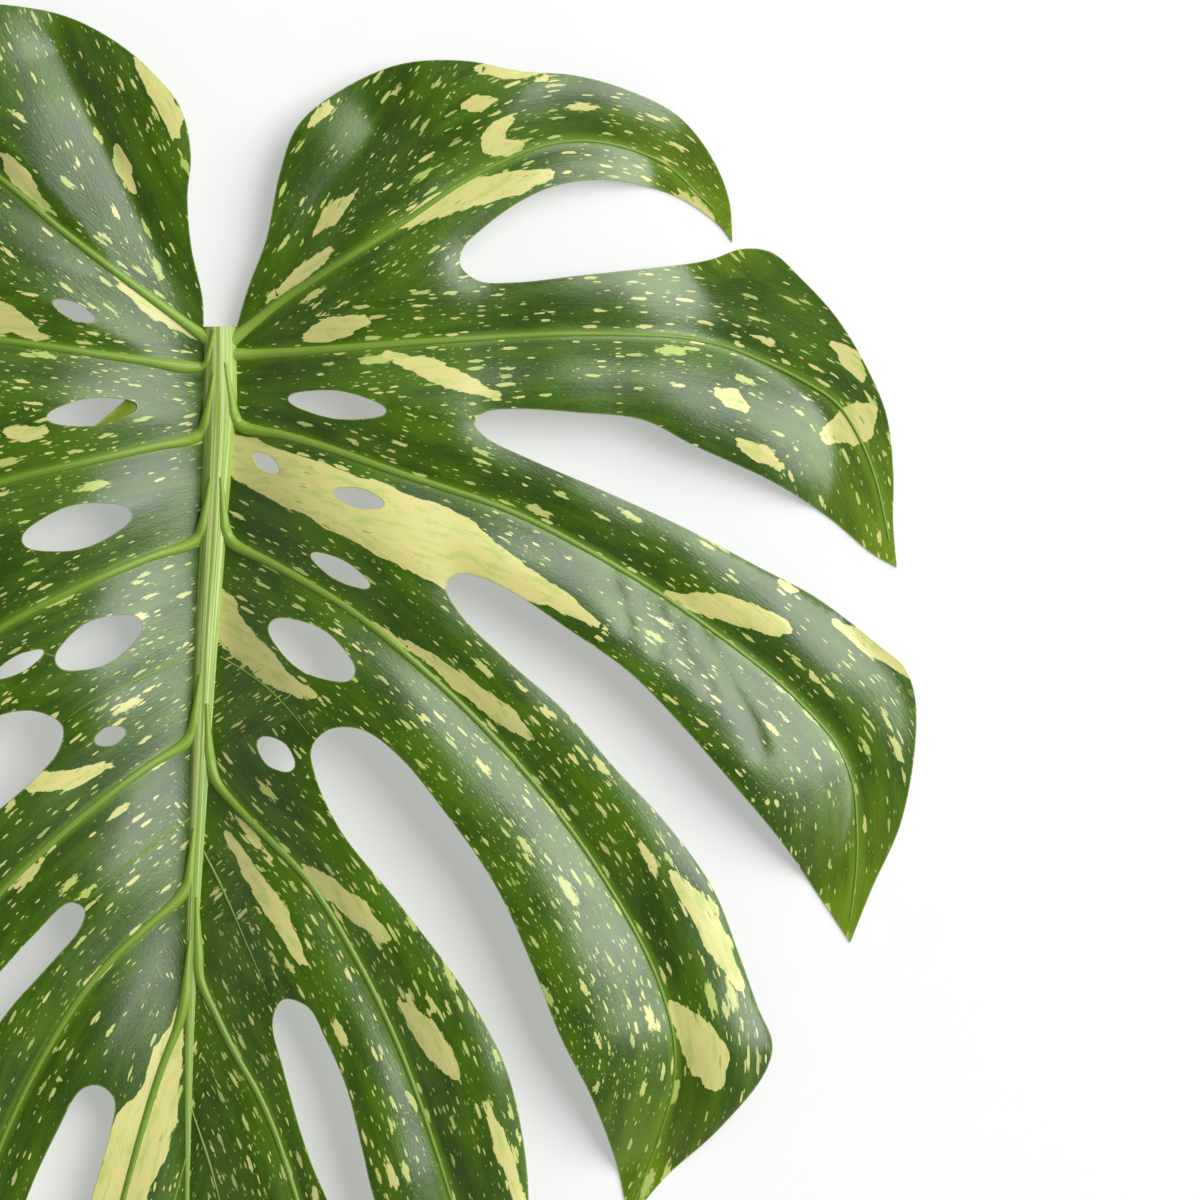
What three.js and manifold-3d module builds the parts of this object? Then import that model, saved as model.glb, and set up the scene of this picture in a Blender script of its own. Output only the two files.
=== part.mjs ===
// One leaf of a variegated monstera, picked and laid flat with its upper side up.
// Units are millimetres, +Z is up. The outline, veins and holes are drawn around the point where
// the midrib meets its cut stem end: +X is the leaf's right half and -Y points at the leaf's tip.
// The finished leaf is then moved so that the middle of its footprint stands on the origin.

import * as THREE from 'three';
import * as BufferGeometryUtils from 'three/addons/utils/BufferGeometryUtils.js';
import Module from 'manifold-3d';

// ---- Driving dimensions -------------------------------------------------------------------------

const bladeThickness = 0.6;
const outlineStep = 10; // length of the straight stretches that the margin is made of
const plateCell = 18; // grid of the curved sheet that the blade is cut from

const domeRise = 25; // height of the blade between midrib and lobe tips
const domeCentre = new THREE.Vector2(-5, -125);
const domeHalfSize = new THREE.Vector2(212, 240);
const domePower = 2.4;
const basalLine = -20; // above this line the two basal lobes stay raised
const basalFall = 0.5; // their fall towards the margin, as a share of the dome's
const basalSoftness = 20;

const midribValleyHalfWidth = 26;
const midribValleyPower = 1.4;
const lateralValleyDepth = 6.5;
const lateralValleyFloor = 2.5; // how far the valley's soft floor reaches to each side
const lateralValleyFade = 11; // distance over which its sloping sides fade out
const creaseDepth = 11; // each of the two basal lobes is folded beside the notch
const creaseFloor = 1.2;
const creaseFade = 24;

const marginCurl = 3; // how far the margin rolls down
const marginCurlWidth = 8;
const tipDroop = 9; // how far a lobe's tip bends down to the surface
const tipDroopLength = 26;
const restSoftness = 0.4; // how gently the drooping tips flatten out on the surface

const midribSides = 8;
const midribStep = 15;
const ribUnderBlade = 0.62; // share of the midrib's height that is below the blade
const ribEdgeShare = 0.42; // the blade meets the midrib this share of its width from its middle
const flatRibLength = 62; // the midrib's underside rests on the surface this far from the cut
const ribArchRise = 5; // height of the midrib's underside at the middle of its arch

const lateralSides = 4; // a square section whose flat top lies inside the blade
const lateralStep = 30;
const lateralRadiusAtMidrib = 1.7;
const lateralRadiusAtTip = 0.6;

// Places along the midrib, with its width and height there.
const midribStations = [
  { x: 0, y: 0, width: 9.4, height: 9 },
  { x: 0, y: -20, width: 10.2, height: 9 },
  { x: -1.5, y: -50, width: 8.4, height: 8 },
  { x: -4, y: -90, width: 7.2, height: 7 },
  { x: -6, y: -132, width: 5.4, height: 5.4 },
  { x: -8, y: -180, width: 3.8, height: 3.8 },
  { x: -9, y: -235, width: 2.4, height: 2.8 },
  { x: -10, y: -300, width: 1.8, height: 2 },
  { x: -11, y: -342, width: 1.2, height: 1.2 },
];

// The margin, clockwise from the right corner of the cut. Each run is one smooth curve,
// and two runs meet in a pointed lobe tip.
const marginRuns = [
  // right basal lobe, outer margin
  [[4.7, 0], [8, 11], [13, 24], [17, 43], [22, 56], [34, 66], [50, 73], [68, 74], [84, 71],
    [99, 70], [114, 66], [128, 59], [137, 48], [142, 36], [143, 24]],
  // first right slit and the second lobe
  [[143, 24], [139, 29], [127, 37], [111, 41], [96, 40], [84, 35], [73, 27], [68, 22], [67, 17],
    [72, 12.5], [82, 12], [100, 14], [125, 17], [137, 19], [146, 22], [154, 21], [162, 14],
    [172, 3], [180, -10], [186, -24], [188, -40], [188, -55], [189, -67]],
  // second right slit and the third lobe
  [[189, -67], [182, -63], [170, -53], [154, -43], [132, -33], [118, -26], [100, -24], [82, -23],
    [74, -24], [71, -27], [74, -31], [86, -37], [107, -46], [129, -56], [150, -67], [167, -76],
    [184, -89], [191, -95], [194, -103], [194, -118], [190, -139], [182, -157], [176, -172]],
  // third right slit and the fourth lobe
  [[176, -172], [168, -160], [157, -144], [142, -126], [127, -109], [114, -96], [97, -84],
    [82, -74], [72, -69.5], [66, -69], [63, -72], [67, -80], [79, -92], [96, -107], [111, -124],
    [124, -138], [137, -156], [145, -176], [150, -190], [154, -200], [152, -208], [139, -224],
    [124, -238], [114, -250]],
  // fourth right slit and the fifth lobe
  [[114, -250], [111, -235], [104, -215], [95, -197], [88, -179], [77, -155], [64, -136],
    [50, -119], [40, -112], [31, -112], [26, -117], [27, -125], [34, -140], [50, -160], [68, -184],
    [79, -204], [84, -223], [86, -244], [84, -268], [76, -298]],
  // fifth right slit and the sixth lobe
  [[76, -298], [64, -281], [53, -262], [44, -244], [40, -228], [36, -212], [30, -198], [25, -189],
    [18, -187], [15, -193], [18, -207], [25, -231], [33, -250], [39, -270], [41, -292], [36, -326]],
  // last right slit and the leaf's tip
  [[36, -326], [27, -308], [20, -290], [13, -272], [9, -264.5], [4, -267], [3, -278], [4, -294],
    [2, -312], [-4, -331], [-11, -348]],
  // leaf's tip and the last left slit
  [[-11, -348], [-16, -331], [-20, -312], [-20, -292], [-18, -276], [-20, -269], [-25, -272],
    [-29, -288], [-33, -308], [-40, -330]],
  // seventh left lobe, with the cream stripe
  [[-40, -330], [-44, -300], [-43, -276], [-39, -256], [-34, -238], [-30, -224], [-29, -215],
    [-33, -211], [-38, -212], [-45, -224], [-54, -244], [-61, -268], [-68, -292], [-76, -312]],
  // sixth left lobe
  [[-76, -312], [-84, -282], [-84, -258], [-80, -237], [-74, -218], [-66, -202], [-57, -189],
    [-48, -179], [-38, -167], [-37, -162], [-41, -160], [-51, -169], [-62, -181], [-73, -193],
    [-82, -208], [-90, -227], [-97, -247], [-104, -267], [-111, -286]],
  // fifth left lobe
  [[-111, -286], [-118, -258], [-118, -236], [-113, -214], [-104, -192], [-93, -172], [-80, -154],
    [-66, -139], [-54, -129], [-44, -118], [-43, -111], [-50, -107], [-60, -108], [-71, -115],
    [-83, -128], [-96, -146], [-108, -166], [-118, -187], [-127, -208], [-133, -228], [-138, -247]],
  // fourth left lobe
  [[-138, -247], [-151, -230], [-161, -217], [-164, -206], [-161, -195], [-154, -178], [-146, -158],
    [-133, -138], [-117, -118], [-99, -101], [-82, -87], [-68, -77], [-64, -70], [-68, -66],
    [-75, -69], [-90, -79], [-108, -93], [-127, -110], [-145, -129], [-160, -148], [-172, -165],
    [-181, -179]],
  // third left lobe
  [[-181, -179], [-187, -164], [-195, -146], [-199, -124], [-198, -108], [-191, -94], [-178, -82],
    [-160, -71], [-140, -60], [-118, -49], [-95, -39], [-82, -32], [-78, -28], [-81, -25],
    [-90, -24], [-106, -25], [-123, -28], [-140, -34], [-161, -42], [-180, -52], [-194, -62],
    [-204, -66]],
  // second left lobe
  [[-204, -66], [-201, -48], [-202, -32], [-199, -12], [-192, 6], [-182, 20], [-170, 30],
    [-155, 31], [-130, 28], [-105, 25], [-90, 23], [-84, 27], [-86, 33], [-95, 43], [-109, 51],
    [-127, 54], [-145, 51], [-159, 44], [-168, 37]],
  // left basal lobe, back to the cut
  [[-168, 37], [-167, 51], [-160, 64], [-147, 77], [-128, 86], [-106, 90], [-83, 91], [-62, 90],
    [-44, 87], [-30, 80], [-19, 71], [-11, 61], [-8, 48], [-9, 36], [-8, 22], [-5, 8], [-4.7, 0]],
];

// Windows in the blade between the lateral veins.
const windows = [
  { x: 33, y: -22, length: 28, width: 8, tilt: -8 },
  { x: 13, y: -38, length: 9, width: 4.6, tilt: -35 },
  { x: 39, y: -48, length: 15, width: 5.8, tilt: -14 },
  { x: 34, y: -68, length: 19, width: 6, tilt: -29 },
  { x: 26, y: -90, length: 28, width: 13, tilt: -32 },
  { x: 16, y: -119, length: 13, width: 8, tilt: -40 },
  { x: -40, y: 4, length: 13, width: 5, tilt: -25 },
  { x: -35, y: -24, length: 25, width: 8, tilt: 8 },
  { x: -39, y: -56, length: 31, width: 12.5, tilt: 15 },
  { x: -33, y: -88, length: 26, width: 13, tilt: 27 },
  { x: -55, y: -94, length: 16, width: 5, tilt: 28 },
  { x: -30, y: -114, length: 9, width: 5.6, tilt: 20 },
];
const windowSteps = 20;

// Main lateral veins, from the midrib to the tip of their lobe.
const lateralVeins = [
  [[3, -4], [17, 7], [31, 16], [50, 28], [71, 42], [97, 52], [122, 47], [138, 33]],
  [[3, -8], [24, -7], [64, -4], [104, -2], [136, -4], [157, -12], [173, -22], [183, -42], [187, -60]],
  [[3, -27], [24, -32], [50, -41], [82, -52], [114, -69], [139, -86], [161, -104], [175, -122],
    [178, -145], [176, -166]],
  [[1, -59], [20, -69], [38, -80], [64, -102], [86, -125], [106, -152], [122, -182], [127, -205],
    [122, -228], [115, -246]],
  [[-5, -122], [7, -136], [24, -153], [38, -175], [50, -200], [60, -228], [68, -256], [75, -292]],
  [[-8, -176], [2, -198], [13, -218], [22, -244], [30, -272], [35, -320]],
  [[-3, -4], [-22, 10], [-43, 26], [-62, 42], [-88, 60], [-116, 67], [-143, 60], [-163, 42]],
  [[-3, -12], [-33, -8], [-62, -4], [-104, -1], [-140, -3], [-165, -12], [-186, -28], [-200, -58]],
  [[-4, -30], [-33, -37], [-62, -44], [-90, -54], [-120, -70], [-148, -90], [-170, -112],
    [-181, -138], [-182, -172]],
  [[-5, -59], [-26, -67], [-62, -85], [-84, -102], [-104, -124], [-121, -150], [-134, -182],
    [-140, -212], [-138, -240]],
  [[-7, -114], [-22, -124], [-41, -139], [-62, -159], [-80, -181], [-94, -210], [-104, -244],
    [-111, -280]],
  [[-9, -157], [-19, -166], [-35, -182], [-53, -211], [-65, -240], [-72, -272], [-76, -306]],
  [[-9, -188], [-16, -206], [-25, -236], [-32, -266], [-39, -322]],
];

// The fold of each basal lobe, from the cut towards the lobe's end.
const basalCreases = [
  [[4, -3], [17, 15], [25, 27], [30, 37], [37, 46], [44, 55]],
  [[-4, -3], [-18, 23], [-25, 38], [-35, 58], [-45, 78]],
];

const leafMaterial = new THREE.MeshStandardMaterial({ color: 0x3f6f1c, roughness: 0.4, metalness: 0 });

// ---- Plane curves -------------------------------------------------------------------------------

const smoothCurve = (points) => new THREE.CatmullRomCurve3(
  points.map(([x, y]) => new THREE.Vector3(x, y, 0)), false, 'centripetal');

function samplesAlong(points, step) {
  const curve = smoothCurve(points);
  const count = Math.max(3, Math.round(curve.getLength() / step));
  return curve.getSpacedPoints(count).map((p) => new THREE.Vector2(p.x, p.y));
}

// The closed margin as one list of points; a run's last point is the next run's first.
const margin = marginRuns.flatMap((run) => samplesAlong(run, outlineStep).slice(0, -1));
margin.push(new THREE.Vector2(...marginRuns.at(-1).at(-1)));

const lobeTips = marginRuns.slice(0, -1).map((run) => new THREE.Vector2(...run.at(-1)));
const veinPaths = lateralVeins.map((points) => samplesAlong(points, lateralStep));
const creasePaths = basalCreases.map((points) => samplesAlong(points, lateralStep));

// The margin runs clockwise, so a window runs the other way.
function windowPath({ x, y, length, width, tilt }) {
  const ellipse = new THREE.EllipseCurve(x, y, length / 2, width / 2, 0, 2 * Math.PI, false,
    THREE.MathUtils.degToRad(tilt));
  return new THREE.Path(ellipse.getPoints(windowSteps).slice(0, -1));
}

function distanceToLine(p, line, closed = false) {
  let best = Infinity;
  const last = closed ? line.length : line.length - 1;
  for (let i = 0; i < last; i++) {
    const a = line[i];
    const b = line[(i + 1) % line.length];
    const ab = b.clone().sub(a);
    const share = THREE.MathUtils.clamp(p.clone().sub(a).dot(ab) / ab.lengthSq(), 0, 1);
    best = Math.min(best, a.clone().addScaledVector(ab, share).distanceTo(p));
  }
  return best;
}

// ---- Height of the blade ------------------------------------------------------------------------

// The midrib's place and size at one y, on straight lines between its stations.
function midribAt(y) {
  const next = midribStations.findIndex((station) => station.y <= y);
  if (next === 0) return midribStations[0];
  if (next < 0) return midribStations.at(-1);
  const a = midribStations[next - 1];
  const b = midribStations[next];
  const share = (y - a.y) / (b.y - a.y);
  const between = (key) => THREE.MathUtils.lerp(a[key], b[key], share);
  return { x: between('x'), y, width: between('width'), height: between('height') };
}

// The midrib's underside lies flat near the cut, then arches up and comes down at the leaf's tip.
function ribUnderside(y) {
  const archLength = -midribStations.at(-1).y - flatRibLength;
  const arch = THREE.MathUtils.clamp((-y - flatRibLength) / archLength, 0, 1);
  return ribArchRise * Math.sin(Math.PI * arch) ** 2;
}

// A valley with a soft floor and long sloping sides.
function furrow(distance, depth, floor, fade) {
  const pastFloor = Math.hypot(distance, floor) - floor;
  return depth * Math.exp(-pastFloor / fade);
}

function bladeHeight(x, y) {
  const p = new THREE.Vector2(x, y);
  const pastLine = (y - basalLine + Math.hypot(y - basalLine, basalSoftness)) / 2;
  const domeY = y - (1 - basalFall) * pastLine;
  const reach = Math.hypot((x - domeCentre.x) / domeHalfSize.x,
    (domeY - domeCentre.y) / domeHalfSize.y);
  const dome = domeRise * (1 - Math.min(reach, 1) ** domePower);
  const rib = midribAt(y);
  const ribSeat = ribUnderside(y) + ribUnderBlade * rib.height;
  const fromRib = Math.max(Math.hypot(x - rib.x, Math.max(y, 0)) - ribEdgeShare * rib.width, 0);
  const outOfValley = 1 - Math.exp(-((fromRib / midribValleyHalfWidth) ** midribValleyPower));
  const fromVein = Math.min(...veinPaths.map((path) => distanceToLine(p, path)));
  const fromCrease = Math.min(...creasePaths.map((path) => distanceToLine(p, path)));
  const groove = Math.max(
    furrow(fromVein, lateralValleyDepth, lateralValleyFloor, lateralValleyFade),
    furrow(fromCrease, creaseDepth, creaseFloor, creaseFade),
  );
  const fromMargin = distanceToLine(p, margin, true);
  const curl = marginCurl * Math.exp(-fromMargin / marginCurlWidth);
  const fromTip = Math.min(...lobeTips.map((tip) => tip.distanceTo(p)));
  const droop = tipDroop * Math.exp(-((fromTip / tipDroopLength) ** 2));
  const height = ribSeat + (dome - ribSeat - groove - curl) * outOfValley - droop;
  // Never under the surface the leaf lies on, with a soft landing.
  return bladeThickness + (height + Math.hypot(height, 2 * restSoftness)) / 2;
}

// ---- The curved sheet, cut to the outline ---------------------------------------------------------

const footprint = new THREE.Box2().setFromPoints(margin).expandByScalar(plateCell);
const columns = Math.ceil((footprint.max.x - footprint.min.x) / plateCell);
const rows = Math.ceil((footprint.max.y - footprint.min.y) / plateCell);
const nodeX = (i) => footprint.min.x + i * plateCell;
const nodeY = (j) => footprint.min.y + j * plateCell;
const nodeHeights = Array.from({ length: rows + 1 }, (_, j) =>
  Array.from({ length: columns + 1 }, (_, i) => bladeHeight(nodeX(i), nodeY(j))));

// Height of the sheet as built, between the grid's own corners.
function sheetHeight(x, y) {
  const u = (x - footprint.min.x) / plateCell;
  const v = (y - footprint.min.y) / plateCell;
  const i = THREE.MathUtils.clamp(Math.floor(u), 0, columns - 1);
  const j = THREE.MathUtils.clamp(Math.floor(v), 0, rows - 1);
  const low = THREE.MathUtils.lerp(nodeHeights[j][i], nodeHeights[j][i + 1], u - i);
  const high = THREE.MathUtils.lerp(nodeHeights[j + 1][i], nodeHeights[j + 1][i + 1], u - i);
  return THREE.MathUtils.lerp(low, high, v - j);
}

function closedGeometry(vertices, triangles) {
  const geometry = new THREE.BufferGeometry();
  geometry.setAttribute('position', new THREE.Float32BufferAttribute(vertices, 3));
  geometry.setIndex(triangles);
  return geometry;
}

function sheetGeometry() {
  const vertices = [];
  const layerSize = (rows + 1) * (columns + 1);
  for (const drop of [0, bladeThickness]) {
    for (let j = 0; j <= rows; j++) {
      for (let i = 0; i <= columns; i++) vertices.push(nodeX(i), nodeY(j), nodeHeights[j][i] - drop);
    }
  }
  const at = (i, j, layer = 0) => layer * layerSize + j * (columns + 1) + i;
  const triangles = [];
  const quad = (a, b, c, d) => triangles.push(a, b, c, a, c, d);
  for (let j = 0; j < rows; j++) {
    for (let i = 0; i < columns; i++) {
      quad(at(i, j), at(i + 1, j), at(i + 1, j + 1), at(i, j + 1));
      quad(at(i, j, 1), at(i, j + 1, 1), at(i + 1, j + 1, 1), at(i + 1, j, 1));
    }
  }
  for (let i = 0; i < columns; i++) {
    quad(at(i, 0), at(i, 0, 1), at(i + 1, 0, 1), at(i + 1, 0));
    quad(at(i, rows), at(i + 1, rows), at(i + 1, rows, 1), at(i, rows, 1));
  }
  for (let j = 0; j < rows; j++) {
    quad(at(0, j), at(0, j + 1), at(0, j + 1, 1), at(0, j, 1));
    quad(at(columns, j), at(columns, j, 1), at(columns, j + 1, 1), at(columns, j + 1));
  }
  return closedGeometry(vertices, triangles);
}

function outlinePrism() {
  const shape = new THREE.Shape(margin);
  shape.holes = windows.map(windowPath);
  const prism = new THREE.ExtrudeGeometry(shape, { depth: 2 * domeRise, bevelEnabled: false });
  return prism.translate(0, 0, -domeRise / 2);
}

// ---- Midrib and lateral veins ---------------------------------------------------------------------

// A tapering rod: one ring of corners at each station { x, y, z, halfWidth, halfHeight }.
function rodGeometry(stations, sides) {
  const vertices = [];
  stations.forEach((s, k) => {
    const before = stations[Math.max(k - 1, 0)];
    const after = stations[Math.min(k + 1, stations.length - 1)];
    const along = new THREE.Vector2(after.x - before.x, after.y - before.y).normalize();
    for (let c = 0; c < sides; c++) {
      const angle = (2 * Math.PI * (c + 0.5)) / sides - Math.PI / 2;
      const across = s.halfWidth * Math.cos(angle);
      vertices.push(s.x - along.y * across, s.y + along.x * across, s.z + s.halfHeight * Math.sin(angle));
    }
  });
  const triangles = [];
  for (let k = 0; k < stations.length - 1; k++) {
    for (let c = 0; c < sides; c++) {
      const a = k * sides + c;
      const b = k * sides + ((c + 1) % sides);
      triangles.push(a, b, b + sides, a, b + sides, a + sides);
    }
  }
  const lastRing = (stations.length - 1) * sides;
  for (let c = 1; c < sides - 1; c++) {
    triangles.push(0, c + 1, c);
    triangles.push(lastRing, lastRing + c, lastRing + c + 1);
  }
  return closedGeometry(vertices, triangles);
}

function midribGeometry() {
  const path = samplesAlong(midribStations.map(({ x, y }) => [x, y]), midribStep);
  const flatShare = Math.cos(Math.PI / midribSides); // a ring's flat side is nearer than its corners
  const stations = path.map(({ x, y }) => {
    const { width, height } = midribAt(y);
    const halfHeight = height / 2;
    return { x, y, z: ribUnderside(y) + halfHeight * flatShare, halfWidth: width / 2, halfHeight };
  });
  return rodGeometry(stations, midribSides);
}

function lateralGeometry(path) {
  const stations = path.map(({ x, y }, k) => {
    const radius = THREE.MathUtils.lerp(lateralRadiusAtMidrib, lateralRadiusAtTip, k / (path.length - 1));
    const middle = sheetHeight(x, y) - bladeThickness / 2 - radius * Math.cos(Math.PI / lateralSides);
    return { x, y, z: Math.max(middle, radius), halfWidth: radius, halfHeight: radius };
  });
  return rodGeometry(stations, lateralSides);
}

// ---- Joining --------------------------------------------------------------------------------------

const wasm = await Module();
wasm.setup();

const mergeDistance = 1e-4;

function solidOf(geometry) {
  const bare = geometry.clone();
  bare.deleteAttribute('normal');
  bare.deleteAttribute('uv');
  const merged = BufferGeometryUtils.mergeVertices(bare, mergeDistance);
  return new wasm.Manifold(new wasm.Mesh({
    numProp: 3,
    vertProperties: new Float32Array(merged.attributes.position.array),
    triVerts: new Uint32Array(merged.index.array),
  }));
}

function geometryOf(solid) {
  const { vertProperties, triVerts } = solid.getMesh();
  return closedGeometry(Array.from(vertProperties), Array.from(triVerts));
}

let leafSolid = solidOf(sheetGeometry()).intersect(solidOf(outlinePrism()));
leafSolid = leafSolid.add(solidOf(midribGeometry()));
for (const path of veinPaths) leafSolid = leafSolid.add(solidOf(lateralGeometry(path)));

const leafGeometry = geometryOf(leafSolid);
leafGeometry.computeBoundingBox();
const box = leafGeometry.boundingBox;
leafGeometry.translate(-(box.min.x + box.max.x) / 2, -(box.min.y + box.max.y) / 2, -box.min.z);

const leafMesh = new THREE.Mesh(leafGeometry, leafMaterial);
leafMesh.name = 'leaf';

const monsteraLeaf = new THREE.Group();
monsteraLeaf.add(leafMesh);

export default monsteraLeaf;
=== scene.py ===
# One picked leaf of a variegated monstera, lying flat with its upper side up.
# The leaf is drawn in millimetres around the point where the midrib meets its cut end,
# +X over its right half and -Y towards its tip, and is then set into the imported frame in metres.

import math

import bmesh
import bpy
import numpy as np
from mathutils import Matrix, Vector, kdtree
from mathutils.geometry import delaunay_2d_cdt


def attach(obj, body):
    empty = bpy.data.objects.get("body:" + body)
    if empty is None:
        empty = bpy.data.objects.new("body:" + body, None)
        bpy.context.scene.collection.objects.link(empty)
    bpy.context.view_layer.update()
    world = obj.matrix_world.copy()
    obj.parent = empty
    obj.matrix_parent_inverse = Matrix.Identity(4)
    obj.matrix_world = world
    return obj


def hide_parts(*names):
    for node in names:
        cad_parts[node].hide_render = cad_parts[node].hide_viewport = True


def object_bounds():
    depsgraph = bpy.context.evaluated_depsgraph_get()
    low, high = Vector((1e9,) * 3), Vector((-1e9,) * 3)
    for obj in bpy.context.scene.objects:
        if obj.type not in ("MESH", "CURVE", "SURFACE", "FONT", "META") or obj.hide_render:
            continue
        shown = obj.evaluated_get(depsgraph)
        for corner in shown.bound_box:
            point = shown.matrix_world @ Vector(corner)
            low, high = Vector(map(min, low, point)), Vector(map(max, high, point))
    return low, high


bl_info = {
    "name": "Variegated Monstera Leaf",
    "version": (1, 0, 0),
    "blender": (4, 5, 0),
    "location": "View3D > Sidebar > Monstera",
    "description": "Builds a picked, variegated monstera leaf on a pale floor",
    "category": "Add Mesh",
}

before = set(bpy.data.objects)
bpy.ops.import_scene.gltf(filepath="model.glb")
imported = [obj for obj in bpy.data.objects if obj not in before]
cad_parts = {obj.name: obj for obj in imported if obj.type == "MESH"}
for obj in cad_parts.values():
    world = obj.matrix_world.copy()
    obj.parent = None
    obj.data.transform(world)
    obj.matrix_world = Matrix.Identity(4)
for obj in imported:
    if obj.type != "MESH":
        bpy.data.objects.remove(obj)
CAD_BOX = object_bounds()
BODY = "root"
NODE = "leaf"
MM = 0.001

# ---- The leaf as drawn, in millimetres -----------------------------------------------------------

# The margin, clockwise from the right corner of the cut. Each run is one smooth curve,
# and two runs meet in a pointed lobe tip.
MARGIN_RUNS = [
    # right basal lobe, outer margin
    [(4.7, 0), (8, 11), (13, 24), (17, 43), (22, 56), (34, 66), (50, 73), (68, 74), (84, 71),
     (99, 70), (114, 66), (128, 59), (137, 48), (142, 36), (143, 24)],
    # first right slit and the second lobe
    [(143, 24), (139, 29), (127, 37), (111, 41), (96, 40), (84, 35), (73, 27), (68, 22), (67, 17),
     (72, 12.5), (82, 12), (100, 14), (125, 17), (137, 19), (146, 22), (154, 21), (162, 14),
     (172, 3), (180, -10), (186, -24), (188, -40), (188, -55), (189, -67)],
    # second right slit and the third lobe
    [(189, -67), (182, -63), (170, -53), (154, -43), (132, -33), (118, -26), (100, -24), (82, -23),
     (74, -24), (71, -27), (74, -31), (86, -37), (107, -46), (129, -56), (150, -67), (167, -76),
     (184, -89), (191, -95), (194, -103), (194, -118), (190, -139), (182, -157), (176, -172)],
    # third right slit and the fourth lobe
    [(176, -172), (168, -160), (157, -144), (142, -126), (127, -109), (114, -96), (97, -84),
     (82, -74), (72, -69.5), (66, -69), (63, -72), (67, -80), (79, -92), (96, -107), (111, -124),
     (124, -138), (137, -156), (145, -176), (150, -190), (154, -200), (152, -208), (139, -224),
     (124, -238), (114, -250)],
    # fourth right slit and the fifth lobe
    [(114, -250), (111, -235), (104, -215), (95, -197), (88, -179), (77, -155), (64, -136),
     (50, -119), (40, -112), (31, -112), (26, -117), (27, -125), (34, -140), (50, -160),
     (68, -184), (79, -204), (84, -223), (86, -244), (84, -268), (76, -298)],
    # fifth right slit and the sixth lobe
    [(76, -298), (64, -281), (53, -262), (44, -244), (40, -228), (36, -212), (30, -198),
     (25, -189), (18, -187), (15, -193), (18, -207), (25, -231), (33, -250), (39, -270),
     (41, -292), (36, -326)],
    # last right slit and the leaf's tip
    [(36, -326), (27, -308), (20, -290), (13, -272), (9, -264.5), (4, -267), (3, -278), (4, -294),
     (2, -312), (-4, -331), (-11, -348)],
    # leaf's tip and the last left slit
    [(-11, -348), (-16, -331), (-20, -312), (-20, -292), (-18, -276), (-20, -269), (-25, -272),
     (-29, -288), (-33, -308), (-40, -330)],
    # seventh left lobe, with the cream stripe
    [(-40, -330), (-44, -300), (-43, -276), (-39, -256), (-34, -238), (-30, -224), (-29, -215),
     (-33, -211), (-38, -212), (-45, -224), (-54, -244), (-61, -268), (-68, -292), (-76, -312)],
    # sixth left lobe
    [(-76, -312), (-84, -282), (-84, -258), (-80, -237), (-74, -218), (-66, -202), (-57, -189),
     (-48, -179), (-38, -167), (-37, -162), (-41, -160), (-51, -169), (-62, -181), (-73, -193),
     (-82, -208), (-90, -227), (-97, -247), (-104, -267), (-111, -286)],
    # fifth left lobe
    [(-111, -286), (-118, -258), (-118, -236), (-113, -214), (-104, -192), (-93, -172),
     (-80, -154), (-66, -139), (-54, -129), (-44, -118), (-43, -111), (-50, -107), (-60, -108),
     (-71, -115), (-83, -128), (-96, -146), (-108, -166), (-118, -187), (-127, -208),
     (-133, -228), (-138, -247)],
    # fourth left lobe
    [(-138, -247), (-151, -230), (-161, -217), (-164, -206), (-161, -195), (-154, -178),
     (-146, -158), (-133, -138), (-117, -118), (-99, -101), (-82, -87), (-68, -77), (-64, -70),
     (-68, -66), (-75, -69), (-90, -79), (-108, -93), (-127, -110), (-145, -129), (-160, -148),
     (-172, -165), (-181, -179)],
    # third left lobe
    [(-181, -179), (-187, -164), (-195, -146), (-199, -124), (-198, -108), (-191, -94),
     (-178, -82), (-160, -71), (-140, -60), (-118, -49), (-95, -39), (-82, -32), (-78, -28),
     (-81, -25), (-90, -24), (-106, -25), (-123, -28), (-140, -34), (-161, -42), (-180, -52),
     (-194, -62), (-204, -66)],
    # second left lobe
    [(-204, -66), (-201, -48), (-202, -32), (-199, -12), (-192, 6), (-182, 20), (-170, 30),
     (-155, 31), (-130, 28), (-105, 25), (-90, 23), (-84, 27), (-86, 33), (-95, 43), (-109, 51),
     (-127, 54), (-145, 51), (-159, 44), (-168, 37)],
    # left basal lobe, back to the cut
    [(-168, 37), (-167, 51), (-160, 64), (-147, 77), (-128, 86), (-106, 90), (-83, 91), (-62, 90),
     (-44, 87), (-30, 80), (-19, 71), (-11, 61), (-8, 48), (-9, 36), (-8, 22), (-5, 8), (-4.7, 0)],
]

# Windows in the blade: middle x and y, length, width, tilt in degrees.
WINDOWS = [
    (33, -22, 28, 8, -8), (13, -38, 9, 4.6, -35), (39, -48, 15, 5.8, -14), (34, -68, 19, 6, -29),
    (26, -90, 28, 13, -32), (16, -119, 13, 8, -40), (-40, 4, 13, 5, -25), (-35, -24, 25, 8, 8),
    (-39, -56, 31, 12.5, 15), (-33, -88, 26, 13, 27), (-55, -94, 16, 5, 28), (-30, -114, 9, 5.6, 20),
]

# Places along the midrib: x, y, width, height.
MIDRIB = [
    (0, 0, 9.4, 9), (0, -20, 10.2, 9), (-1.5, -50, 8.4, 8), (-4, -90, 7.2, 7), (-6, -132, 5.4, 5.4),
    (-8, -180, 3.8, 3.8), (-9, -235, 2.4, 2.8), (-10, -300, 1.8, 2), (-11, -342, 1.2, 1.2),
]

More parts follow.
